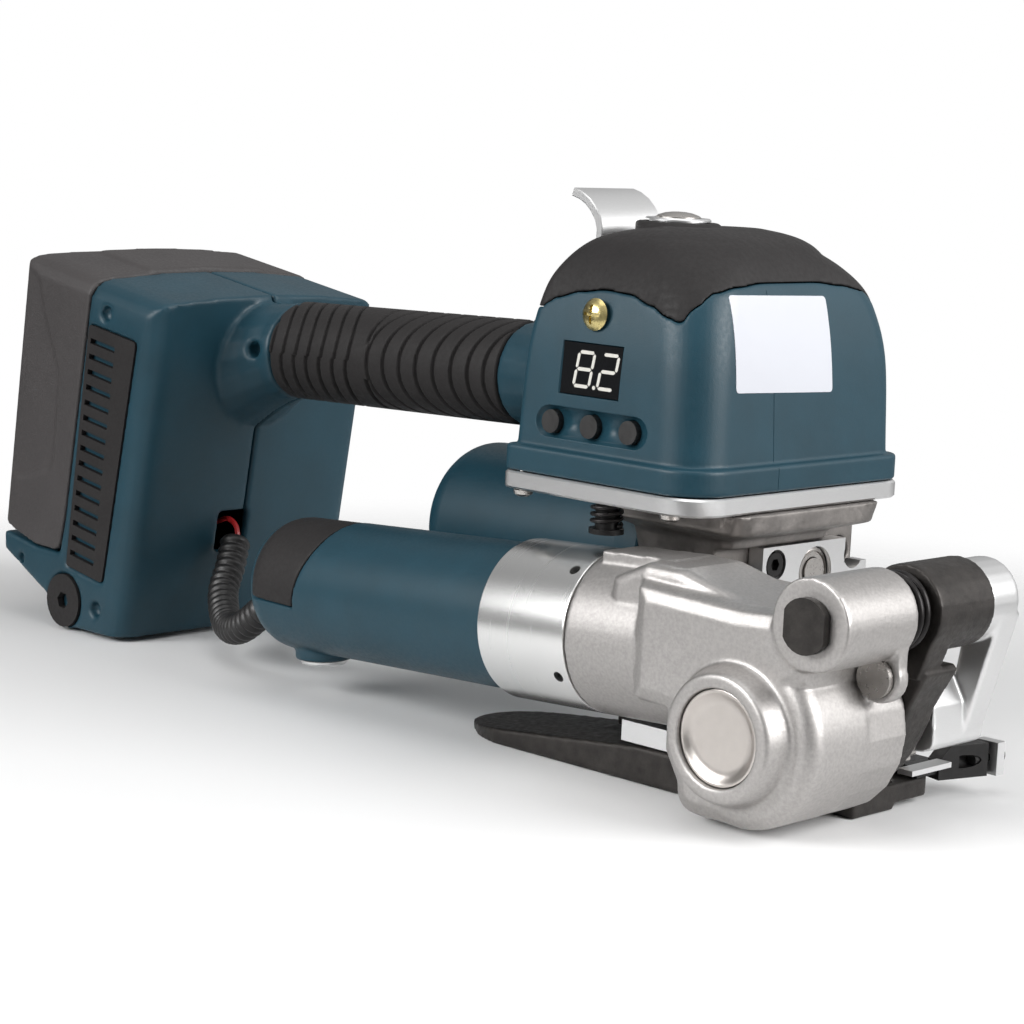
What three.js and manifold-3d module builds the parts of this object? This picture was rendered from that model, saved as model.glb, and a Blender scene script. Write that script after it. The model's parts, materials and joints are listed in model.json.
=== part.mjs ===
// Battery strapping tool, modelled in millimetres with +Z up.
// Origin: on the flat underside of the base plate, below the tension wheel's axis, on the handle's mid-plane.
// +X points to the front of the tool (away from the battery), +Y to its left.

import * as THREE from 'three';
import { mergeVertices } from 'three/addons/utils/BufferGeometryUtils.js';
import Module from 'manifold-3d';

const wasm = await Module();
wasm.setup();

const fit = 0.3;                    // running clearance between neighbouring pieces
const overrun = 2;                  // how far a cutting shape passes the piece that it cuts
const edge = 0.6;                   // broken edges
const deg = Math.PI / 180;

// Strap lane and tension wheel
const laneMid = -13.25;             // the lane's middle, across the tool
const laneWidth = 18.5;             // tension wheel and gripper width
const strapThick = 1;
const wheelRadius = 17.5;
const wheelTeeth = 40;
const wheelToothDepth = 0.6;
const wheelSideGap = 0.7;           // wheel to gear housing

// Base plate
const baseThick = 7;
const baseFront = 10;               // front edge, ahead of the wheel axis
const baseRear = 78;                // rear edge of the wide part, behind the wheel axis
const baseLeft = 10;                // left edge of the wide part
const baseRelief = 1.5;             // the left side is planed up by this much
const tailLength = 124;             // wheel axis to the tail's tip
const tailRight = 41.3;             // right edge of the tail
const tailLeft = 9;                 // left edge of the tail
const tailRoot = 10.4;              // tail thickness where it starts
const tailTip = 1.8;                // tail thickness at its tip
const tailStart = 29.5;             // where the tail starts, behind the wheel axis
const gripperLength = 15;
const gripperThick = 3;
const gripperTooth = 0.5;
const gripperTeeth = 9;
const restLength = 25;              // the machined block that the tension unit rests on
const restWidth = 18;
const bedGroove = 1.5;              // groove that ends the strap bed, ahead of the weld jaw

// Gear housing of the tension unit
const housingWidth = 38.3;
const noseRadius = 24;
const noseShift = 1;                // the nose's centre, ahead of the wheel axis
const housingRear = 24;
const shoulderHeight = 17;          // where the rear wall turns under
const undercut = 4.5;               // how far the rear wall runs in at the bottom
const faceRound = 4.5;              // rounding round the right face
const toeRound = 8;                 // rounding of the lower rear corner
const bossHeight = 6.75;            // wheel-axis boss, proud of the right face
const bossRadius = 16.5;
const bossFlare = 2.2;
const dishRadius = 12.2;
const dishSink = 1.1;
const dishCurve = 1.6;
const dishPlugDepth = 3;
const cavityRadius = 17;
const bossEdge = 1.2;
const cavityWall = 5;               // wall on the cavity's right
const sideCoverThick = 3.5;
const sideCoverLip = 2;
const wheelShaftRadius = 5;
const shaftNutRadius = 8;
const shaftNutThick = 3;
const padLength = 26;               // machined pad on top of the casting
const padWidth = 15;
const padShift = 3;                 // right of the motor's axis
const padRise = 0.9;
const ridgeRise = 1.8;              // ridge between the tube and the hub, above the tube's top
const ridgeRound = 2.6;

// Tension motor, its axis nose-up
const motorTilt = 3 * deg;
const motorAxisSide = 38;           // axis, right of the mid-plane
const motorSeatBack = 59.7;         // joint between casting and ring, behind the wheel axis
const motorSeatHeight = 38.9;       // axis height at that joint
const castRadius = 22.3;
const ringLength = 32.3;
const ringBore = 18.2;
const ringHoleRadius = 1.6;
const coverRadius = 21.1;           // at the ring
const coverTailRadius = 20.1;
const coverLength = 103;
const coverWall = 2.6;
const coverCrown = 9;               // length of the rounded end
const inlayThick = 1.2;
const inlayLength = 27;
const inlayFrom = 4;                // from the cover's rear end
const motorRadius = 16.6;
const motorLength = 104;
const motorNose = 12;               // gearhead inside the casting
const wormRadius = 4.6;
const wormLength = 26;
const wormRoom = 1;
const wormTeeth = 16;
const footCapRadius = 7;
const footCapHeight = 1.3;
const footCapBack = 120;
const footBossRadius = 8.6;
const footBossProud = 1;

// Pivot of tension unit and weld arm
const pivotForward = 22.1;
const pivotHeight = 56.9;
const hubRadius = 11.7;
const hubProud = 0.5;                 // hub, proud of the gear housing's right face
const hubLength = 28.2;
const pivotRadius = 5;
const pivotHeadRadius = 7;
const pivotHeadHeight = 2.2;
const pivotHeadFlat = 6.1;
const springWire = 2.1;
const springCoils = 2.6;
const springPitch = 2.65;
const springRadius = 9.3;           // mean coil radius
const bracketHubLength = 23.5;
const armHubLength = 13.8;
const armHubRadius = 10.6;
const armHubEdge = 2;
const stopPinRadius = 5;
const stopPinShank = 3.3;
const stopPinProud = 1.6;
const stopPinAhead = 3.6;           // ahead of the pivot axis
const stopPinDrop = 14.9;           // below the pivot axis
const stopPinFace = 4.6;            // the boss's face, right of the hub's left end

// Pivot bracket and wheel guard
const bracketArmWidth = 9;
const guardWidth = 13.6;            // at its top
const guardFootWidth = 10;
const guardTop = 42.6;
const guardProud = 29.4;            // front of the guard's top edge, ahead of the wheel axis
const guardThick = 5.6;

// Weld arm
const barWidth = 8.6;
const barDepth = 7;
const jawBottom = 17.4;
const jawSpread = 8;                // how far the jaw reaches right of the hub

// Weld unit
const weldTilt = 1.8 * deg;
const weldAxisSide = 21.4;
const weldFaceBack = 41.25;         // machined front face, behind the wheel axis
const weldFaceHeight = 52.5;
const weldCastLength = 44;
const weldCastRadius = 25.2;
const weldCoverRadius = 25.8;
const weldCoverLength = 91;
const weldNose = 10;                // length of the cover's rounded end
const weldCoverWall = 2.6;
const weldCollar = 9;
const weldMotorRadius = 20.5;
const bearingRadius = 7;
const bearingDepth = 9;
const bearingRecess = 1.2;
const bearingRace = 1.3;
const eccentricShift = 0.6;
const eccentricRadius = 4.2;
const faceScrewRadius = 3.5;
const faceScrewHeight = 3.3;
const faceScrewBore = 4.3;
const faceScrewSpan = 34.7;
const facePlateThick = 5;
const jawPlateThick = 10;

// Head: plate, flange, shell and cap
const headLeft = 46.5;
const headRight = 43.5;
const headFront = 31.5;             // behind the wheel axis
const headRear = 101.6;
const headCorners = [6.5, 3, 3, 13];       // front left, rear left, rear right, front right
const headLevel = 73.2;             // underside of the head plate
const headPlateThick = 4.9;
const headFlangeThick = 7.2;
const shellInset = 2;
const shellWall = 2.6;
const domeHeight = 60.8;            // above the flange
const castFlangeThick = 8.4;

// Display side
const windowWidth = 21.4;
const windowHeight = 13.9;
const windowDepth = 1.6;
const windowProud = -0.4;           // the glass, behind the shell's face
const windowLevel = 108;
const windowBack = 73.5;            // window centre, behind the wheel axis
const keyRadius = 3.2;
const keyPitch = 14.1;
const keyShift = 2;                 // keys, ahead of the window's centre
const keyDrop = 15;
const keyProud = 0.9;
const keyTravel = 0.8;
const keyPanelHeight = 8.6;

// Push button on the head
const buttonRadius = 6.3;
const buttonRise = 3.8;             // its crown, above the dome's top
const buttonCrown = 1.4;
const buttonBody = 9;
const buttonTravel = 1.2;
const collarRadius = 11.8;          // raised collar of the cap
const collarRise = 1;
const collarDepth = 12.5;
const bezelRadius = 9.2;
const bezelNeck = 8;
const bezelThick = 0.8;

// Weld lever
const leverWidth = 25.5;
const leverThick = 2.4;
const leverPinRadius = 2.2;
const leverBarrel = 4.4;

// Handle
const handleTilt = 1.5 * deg;
const handleFront = 133.5;          // front end of the grip, behind the wheel axis
const gripLength = 102;
const gripLevel = 99.8;             // axis height at the grip's front end
const gripRadius = 15.6;
const gripWall = 2.6;
const grooveDepth = 1.1;

// Battery housing and pack, leaning forward
const packLean = 9 * deg;
const caseFront = 269.5;            // foot of the front face, behind the wheel axis
const caseHalfWidth = 47;
const caseDepth = 68;
const caseHeight = 112;
const caseCorner = 8.4;
const caseWall = 3.2;
const packSplit = 35;               // where the pack's side begins, from the front face
const packBottom = 19;
const packCrown = 3;
const archRound = 8;
const capDiscRadius = 8.8;

// Lead
const leadRadius = 5.05;
const leadBore = 2.6;
const leadRibs = 30;
const leadRibDepth = 0.75;

// Weld unit casting and jaw
const castRear = 84;
const castFront = 30.6;
const castRight = 26;
const castLeft = 37.6;
const castCorner = 10;
const legLength = 19;
const legWidth = 13;
const faceHalfWidth = 23.4;
const faceStep = 36.5;              // where the face plate steps back, from its right edge
const faceScrewDepth = 16;
const weldMotorNose = 8;
const jawTravel = 0.6;
const jawRing = 11;
const jawFoot = 5.5;

// Small parts at the head
const plateScrewRadius = 2.9;
const plateScrewHead = 2;
const plateScrewRear = [5.6, 3.2];  // from the head plate's rear right corner
const plateScrewFront = [12.5, 5];  // from its front right corner
const screwShank = 1.6;
const plungerRadius = 3.2;
const plungerWasher = 4.8;
const washerThick = 1.4;
const plungerDrop = 8.5;            // washer's underside, below the head plate
const plungerWire = 1.1;
const frontLean = 4 * deg;
const rearLean = 1.5 * deg;
const rightLean = 4 * deg;
const leftLean = 0.5 * deg;
const domeRound = 24;
const rearRound = 19;
const cornerSpread = [2.2, 0.5, 0.5, 0.5];   // how much each corner's rounding grows as the dome closes
const domeShares = [
  [0, 0], [0.45, 0.005], [0.62, 0.046], [0.743, 0.108], [0.844, 0.229], [0.918, 0.38], [0.956, 0.533],
  [0.98, 0.72], [1, 1],
];
// Lower edge of the cap: angle from the front (degrees) and depth below the dome's top
const capLine = [
  [0, 13.1], [24, 13.1], [41, 14.1], [50, 15.6], [57, 19.6], [61, 23.6], [66, 22.4], [74, 19.9], [86, 17.5],
  [100, 17], [113, 18.1], [121, 20], [127, 23.2], [132, 23.2], [140, 19.6], [155, 15.6], [180, 14.6],
];
const keyRecess = 0.8;
const keyLength = 8.3;
const displayScrewRise = 14.9;
const displayScrewRadius = 4.4;
const moduleDepth = 5.5;
const buttonAt = [-79.3, -0.75];
const leverPivot = [-104, 117];
const leverPath = [[0, 0], [0, 4], [3.2, 13], [6.2, 26.6], [4.9, 30.75], [0, 35.5], [-4.75, 37.1]];
const lugThick = 4;
const rootLevel = 100;              // middle of the handle's root at the head
const rootHalfY = 19.5;
const rootHalfZ = 12;
const grooveCount = 10;

// Battery end, drawn upright: distance behind the front face and height
const flareLevel = 90.3;
const flareRadius = 22.3;
const flareHole = 7;
const caseSide = [
  [0, 140, 1, 0], [35, 140, -1, 0], [35, 32, -1, 0], [36, 19.7, -1, -1], [49, 18, 0, -1],
  [67.6, 18.3, -1, -1],
  [66.2, 12, -1, 0.6], [37, 3.1, 0, 1.1], [26, -2.8, 0.2, 1.1], [0, 1.3, 1, 1],
];
const packSide = [
  [35.3, 140], [35.4, 32], [36.4, 20.4, 3], [49, 18.6], [71, 21.2, 2], [74.6, 113, 14], [56, 117], [40, 140],
];
const packRear = 71;                // at the pack's foot
const packSpread = 0.04;           // how much further back it is for each unit up
const packRound = 8.5;
const packLift = 0.4;               // the pack's top, above the housing's top
const discAt = [30.4, 5];
const discBump = 9.6;
const discThick = 2;
const caseHoles = [[26, 103.4, 2.6], [13.4, 7.3, 2.6], [56.6, 11.5, 1.8]];
const padCorners = [[9, 98, -1, 1], [34, 98, 1, 1], [31.3, 17, 1, -1], [11.6, 17, -1, -1]];
const padRound = 1.5;
const padThick = 1.8;
const padSink = 0.1;
const slotCount = 15;
const slotMargin = 5;
const slotWidth = 1.8;
const slotLength = 13;
const slotRim = 1.6;                // from the pad's rear edge
const cableHoleY = [-10.6, 1.5];
const cableHoleW = [28, 42];
const leadPoints = [
  [-258.4, -7.5, 32.4], [-255, -12, 25.6], [-249.4, -19.5, 17.6], [-234.75, -29.25, 10.5],
  [-219.75, -36, 12.75], [-205, -38.2, 22], [-196.5, -38, 27.8], [-189.3, -38, 28.7],
];
const leadSides = 8;
const leadBoreStep = 10;
const wireRadius = 0.9;
// The wire's points, from the lead's upper end
const wirePoints = [[-12, 2.2, 4.5], [-6.5, 2, 6.2], [-1, 1.2, 3.8], [1.5, -0.6, -3]];

// Strap guides
const guideLine = [[9.5, 11.5], [14.2, 27]];
const guideThick = 5;
const guideHeight = 9;
const guideLow = 5.6;
const footLength = 17;
const footY = [2, 14];
const footThick = 3;
const bracketX = [-3, 4];           // round the far end of the bar
const bracketGap = 1.2;
const bracketThick = 3.4;
const guideScrewRadius = 2.8;
const guideScrewHead = 2;
const guideShank = 1.5;
const bladeX = [12.3, 17];
const bladeY = [-8.5, 8.8];
const bladeThick = 1.4;

// Heights and stations that follow from the sizes above
const wheelHeight = baseThick + strapThick + wheelRadius;
const laneLeft = laneMid + laneWidth / 2;
const laneRight = laneMid - laneWidth / 2;
const housingLeftFace = laneRight - wheelSideGap;
const housingFace = housingLeftFace - housingWidth;
const hubFace = housingFace - hubProud;
const hubEnd = hubFace + hubLength;
const springLength = springPitch * springCoils + springWire;
const bracketRight = hubEnd + springLength;
const bracketLeft = bracketRight + bracketHubLength;
const armRight = bracketLeft + fit;
const armLeft = armRight + armHubLength;
const armLowLevel = guardTop - guardThick / 2;
const armLowBack = guardProud - guardThick * 1.55;
const headPlateTop = headLevel + headPlateThick;
const flangeTop = headPlateTop + fit + headFlangeThick;
const domeTop = flangeTop + domeHeight;
const collarTop = domeTop + collarRise;
const jawFront = weldFaceBack + weldCastLength / 2 + facePlateThick / 4;
const plateScrewTop = headPlateTop + headFlangeThick * 0.7;
const headMidX = -(headFront + headRear) / 2;
const headMidY = (headLeft - headRight) / 2;
const headHalfX = (headRear - headFront) / 2;
const headHalfY = (headLeft + headRight) / 2;

// Closed mesh with shared vertices, no flat triangles and faces pointing out
function clean(geometry) {
  const bare = geometry.clone();
  for (const name of Object.keys(bare.attributes)) {
    if (name !== 'position') bare.deleteAttribute(name);
  }
  const merged = mergeVertices(bare);
  const place = merged.attributes.position;
  const old = merged.index.array;
  const kept = [];
  let volume = 0;
  const a = new THREE.Vector3();
  const b = new THREE.Vector3();
  const c = new THREE.Vector3();
  for (let i = 0; i < old.length; i += 3) {
    const [p, q, r] = [old[i], old[i + 1], old[i + 2]];
    if (p === q || q === r || r === p) continue;
    a.fromBufferAttribute(place, p);
    b.fromBufferAttribute(place, q);
    c.fromBufferAttribute(place, r);
    volume += a.dot(b.cross(c));
    kept.push(p, q, r);
  }
  if (volume < 0) {
    for (let i = 0; i < kept.length; i += 3) {
      [kept[i + 1], kept[i + 2]] = [kept[i + 2], kept[i + 1]];
    }
  }
  merged.setIndex(kept);
  return merged;
}

function toSolid(form) {
  if (form instanceof wasm.Manifold) return form;
  const closed = clean(form);
  return new wasm.Manifold(new wasm.Mesh({
    numProp: 3,
    vertProperties: new Float32Array(closed.attributes.position.array),
    triVerts: new Uint32Array(closed.index.array),
  }));
}

function toGeometry(form) {
  if (form instanceof THREE.BufferGeometry) return clean(form);
  const mesh = form.simplify(fit / 20).getMesh();
  const geometry = new THREE.BufferGeometry();
  geometry.setAttribute('position', new THREE.BufferAttribute(new Float32Array(mesh.vertProperties), 3));
  geometry.setIndex(Array.from(mesh.triVerts));
  return geometry;
}

function join(first, ...rest) {
  return rest.reduce((sum, next) => sum.add(toSolid(next)), toSolid(first));
}

function cut(first, ...rest) {
  return rest.reduce((sum, next) => sum.subtract(toSolid(next)), toSolid(first));
}

function overlap(first, second) {
  return toSolid(first).intersect(toSolid(second));
}

// An outline drawn in a plane is swept along one axis: its two coordinates are (y, z), (x, z) or (x, y)
function along(axis, geometry) {
  const turn = new THREE.Matrix4();
  if (axis === 'x') {
    turn.makeBasis(new THREE.Vector3(0, 1, 0), new THREE.Vector3(0, 0, 1), new THREE.Vector3(1, 0, 0));
  } else if (axis === 'y') {
    turn.makeBasis(new THREE.Vector3(1, 0, 0), new THREE.Vector3(0, 0, 1), new THREE.Vector3(0, -1, 0));
  }
  return geometry.applyMatrix4(turn);
}

// The same outline as straight steps, without points that coincide
function stepped(shape, curve) {
  const points = shape.getPoints(curve);
  return new THREE.Shape(points.filter((p, i) => p.distanceTo(points[(i + 1) % points.length]) > fit / 10));
}

function prism(axis, shape, from, to, { bevel = 0, bevelSteps = 2, curve = 5 } = {}) {
  const geometry = new THREE.ExtrudeGeometry(stepped(shape, curve), {
    depth: to - from - 2 * bevel,
    bevelEnabled: bevel > 0,
    bevelThickness: bevel,
    bevelSize: bevel,
    bevelOffset: -bevel,
    bevelSegments: bevelSteps,
    curveSegments: curve,
  });
  geometry.translate(0, 0, axis === 'y' ? bevel - to : from + bevel);
  return clean(along(axis, geometry));
}

function block([x0, x1], [y0, y1], [z0, z1]) {
  const geometry = new THREE.BoxGeometry(x1 - x0, y1 - y0, z1 - z0);
  geometry.translate((x0 + x1) / 2, (y0 + y1) / 2, (z0 + z1) / 2);
  return clean(geometry);
}

// A profile of [radius, station] pairs turned about an axis that passes through (a, b)
function turned(axis, profile, [a, b], sides = 26) {
  const points = profile.map(([radius, station]) => new THREE.Vector2(radius, station));
  const geometry = new THREE.LatheGeometry(points, sides);
  if (axis === 'x') {
    geometry.rotateZ(-Math.PI / 2);
    geometry.translate(0, a, b);
  } else if (axis === 'y') {
    geometry.translate(a, 0, b);
  } else {
    geometry.rotateX(Math.PI / 2);
    geometry.translate(a, b, 0);
  }
  return clean(geometry);
}

function rod(axis, radius, from, to, centre, sides = 20) {
  return turned(axis, [[0, from], [radius, from], [radius, to], [0, to]], centre, sides);
}

// A closed outline with each corner rounded; a corner is [a, b] or [a, b, radius]
function outline(corners) {
  const shape = new THREE.Shape();
  const count = corners.length;
  corners.forEach(([a, b, radius = 0], i) => {
    const corner = new THREE.Vector2(a, b);
    const before = new THREE.Vector2(...corners[(i + count - 1) % count].slice(0, 2));
    const after = new THREE.Vector2(...corners[(i + 1) % count].slice(0, 2));
    const back = before.clone().sub(corner);
    const ahead = after.clone().sub(corner);
    const reach = Math.min(radius, back.length() / 2, ahead.length() / 2);
    const start = corner.clone().add(back.setLength(reach));
    const end = corner.clone().add(ahead.setLength(reach));
    if (i === 0) shape.moveTo(start.x, start.y);
    else shape.lineTo(start.x, start.y);
    if (reach > 0) shape.quadraticCurveTo(corner.x, corner.y, end.x, end.y);
  });
  shape.closePath();
  return shape;
}

function rectangle(a0, a1, b0, b1, radius = 0) {
  return outline([[a0, b0, radius], [a1, b0, radius], [a1, b1, radius], [a0, b1, radius]]);
}

// Rings of points joined in order, closed by a fan at each end
function loft(rings) {
  const count = rings[0].length;
  const points = rings.flat();
  const ends = [rings[0], rings[rings.length - 1]];
  const centres = ends.map((ring) => (
    ring.reduce((sum, p) => sum.add(p), new THREE.Vector3()).divideScalar(count)));
  const index = [];
  rings.slice(1).forEach((ring, level) => {
    for (let i = 0; i < count; i += 1) {
      const j = (i + 1) % count;
      const low = level * count;
      const high = low + count;
      index.push(low + i, low + j, high + j, low + i, high + j, high + i);
    }
  });
  const top = points.length - count;
  for (let i = 0; i < count; i += 1) {
    const j = (i + 1) % count;
    index.push(points.length, j, i, points.length + 1, top + i, top + j);
  }
  const geometry = new THREE.BufferGeometry().setFromPoints([...points, ...centres]);
  geometry.setIndex(index);
  return clean(geometry);
}

// Rounded rectangle in the plane, as points, with the same count for every size and a radius for each corner
function roundRing(halfA, halfB, radii, perCorner) {
  const ring = [];
  [[1, 1], [-1, 1], [-1, -1], [1, -1]].forEach(([sa, sb], quarter) => {
    const round = Math.min(radii[quarter], halfA, halfB);
    for (let i = 0; i <= perCorner; i += 1) {
      const angle = (quarter + i / perCorner) * Math.PI / 2;
      ring.push([
        sa * (halfA - round) + round * Math.cos(angle),
        sb * (halfB - round) + round * Math.sin(angle),
      ]);
    }
  });
  return ring;
}

// Turns a geometry about an axis along Y through the point (x, z)
function turnedAbout(geometry, angle, x, z) {
  geometry.translate(-x, 0, -z);
  geometry.rotateY(angle);
  geometry.translate(x, 0, z);
  return geometry;
}

// Places a geometry that is drawn along a motor's own axis
function inMotorFrame(geometry, frame) {
  geometry.rotateY(frame.tilt);
  geometry.translate(frame.x, frame.y, frame.z);
  return geometry;
}

const tensionFrame = { x: -motorSeatBack, y: -motorAxisSide, z: motorSeatHeight, tilt: -motorTilt };
const weldFrame = { x: -weldFaceBack, y: weldAxisSide, z: weldFaceHeight, tilt: -weldTilt };

const group = new THREE.Group();
const finishes = {
  blue: { color: 0x26485c, roughness: 0.62, metalness: 0 },
  rubber: { color: 0x46423f, roughness: 0.85, metalness: 0 },
  black: { color: 0x1c1b1b, roughness: 0.55, metalness: 0 },
  casting: { color: 0xb9b6b1, roughness: 0.5, metalness: 0.9 },
  roughCasting: { color: 0x8f8a84, roughness: 0.6, metalness: 0.9 },
  bright: { color: 0xd9d9d8, roughness: 0.25, metalness: 1 },
  darkSteel: { color: 0x3a3431, roughness: 0.6, metalness: 0.8 },
  steel: { color: 0xa8a6a2, roughness: 0.35, metalness: 1 },
  brass: { color: 0xb5a05a, roughness: 0.35, metalness: 1 },
  glass: { color: 0x101214, roughness: 0.1, metalness: 0 },
  board: { color: 0x1f5136, roughness: 0.6, metalness: 0 },
  red: { color: 0xa82a2a, roughness: 0.5, metalness: 0 },
};

function add(name, form, finish, parent = group) {
  const final = toGeometry(form);
  final.computeVertexNormals();
  const mesh = new THREE.Mesh(final, new THREE.MeshStandardMaterial({ ...finishes[finish] }));
  mesh.name = name;
  parent.add(mesh);
  return mesh;
}

// Base plate: a long tail under the tension motor and a wide plate under the wheel
function basePlate() {
  const tipX = -tailLength;
  const width = tailRight - tailLeft;
  const tipShares = [[0.13, 0, 0.3], [0.01, 0.36, 0.3], [0, 0.72, 0.3], [0.06, 0.93, 0.3], [0.16, 1, 0.3]];
  const tip = tipShares.map(([back, side, round]) => (
    [tipX + back * tailLength, -tailRight + side * width, round * width]));
  const plan = outline([[-tailStart, -tailRight], ...tip, [-tailStart, -tailLeft]].reverse());
  const side = outline([
    [-tailStart, 0], [-tailStart, tailRoot], [-tailStart - baseRear / 4, tailRoot - gripperTooth],
    [tipX - overrun, tailTip], [tipX - overrun, 0],
  ].reverse());
  let tail = overlap(prism('z', plan, 0, tailRoot + overrun), prism('y', side, -tailRight - overrun, 0));
  const groove = housingLeftFace - 2 * fit;
  tail = cut(
    tail,
    block([-baseRear, 0], [housingLeftFace, 0], [baseThick, tailRoot + overrun]),
    block([-baseRear, 0], [groove, housingLeftFace], [baseThick - fit, tailRoot + overrun]),
  );
  const frontRound = baseThick / 2;
  const wide = prism('z', outline([
    [-baseRear, baseLeft, frontRound], [-baseRear, housingLeftFace], [baseFront, housingLeftFace],
    [baseFront, baseLeft, frontRound],
  ]), 0, baseThick);
  const relief = block(
    [gripperLength / 4, baseFront + overrun],
    [-tailLeft + baseThick / 2, baseLeft + overrun],
    [-overrun, baseRelief],
  );
  const seat = block(
    [-gripperLength / 2 - fit, gripperLength / 2 + fit],
    [laneRight - fit, laneLeft + fit],
    [baseThick - gripperThick - fit, baseThick + overrun],
  );
  const bedEnd = block(
    [-jawFront + 2 * fit, -jawFront + 2 * fit + bedGroove],
    [groove, baseLeft + overrun],
    [baseThick - edge, baseThick + overrun],
  );
  return cut(join(tail, wide), relief, seat, bedEnd);
}

function gripperPlate() {
  const top = baseThick;
  const pitch = gripperLength / gripperTeeth;
  const corners = [[-gripperLength / 2, top - gripperThick], [gripperLength / 2, top - gripperThick]];
  for (let i = gripperTeeth; i > 0; i -= 1) {
    const x = -gripperLength / 2 + i * pitch;
    corners.push([x, top], [x - pitch, top - gripperTooth]);
  }
  return prism('y', outline(corners), laneRight, laneLeft);
}

function restBlock() {
  const start = -tailStart - restLength;
  return block([start, -tailStart], [-tailRight, -tailRight + restWidth],
    [tailRoot + fit, motorSeatHeight - castRadius - fit]);
}

// Gear housing: the motor's tube, a body with a round nose, a neck up to the pivot hub, and the wheel boss
function housingSide() {
  const bottom = wheelHeight - noseRadius;
  const nose = new THREE.Shape();
  nose.moveTo(-housingRear, shoulderHeight);
  nose.lineTo(-housingRear + undercut, bottom + toeRound);
  nose.quadraticCurveTo(-housingRear + undercut, bottom, -housingRear + undercut + toeRound, bottom);
  nose.lineTo(noseShift, bottom);
  nose.absarc(noseShift, wheelHeight, noseRadius, -Math.PI / 2, Math.PI / 2, false);
  nose.lineTo(-housingRear, wheelHeight + noseRadius);
  nose.closePath();
  return nose;
}

function neckSide() {
  const neckTop = pivotHeight + hubRadius * 0.2;
  const back = -housingRear - hubRadius;
  return outline([
    [noseShift, wheelHeight], [pivotForward + hubRadius * 0.55, pivotHeight - hubRadius * 0.8],
    [pivotForward, neckTop], [pivotForward - 2 * hubRadius, neckTop - hubRadius / 8],
    [back, motorSeatHeight + castRadius * 0.9], [back, motorSeatHeight - castRadius / 2],
  ]);
}

// Ridge that runs from the motor's tube down to the hub
function ridge() {
  const top = motorSeatHeight + castRadius + ridgeRise;
  const side = outline([
    [-housingRear - 2 * hubRadius, top - castRadius], [pivotForward - hubRadius, pivotHeight - hubRadius],
    [pivotForward - hubRadius, pivotHeight], [pivotForward - 2.4 * hubRadius, pivotHeight + ridgeRise],
    [-housingRear, top], [-housingRear - hubRadius, top],
    [-housingRear - 2 * hubRadius, top - ridgeRound * 2],
  ]);
  return prism('y', side, housingFace + faceRound, -castRight - 2 * overrun, { bevel: ridgeRound });
}

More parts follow.
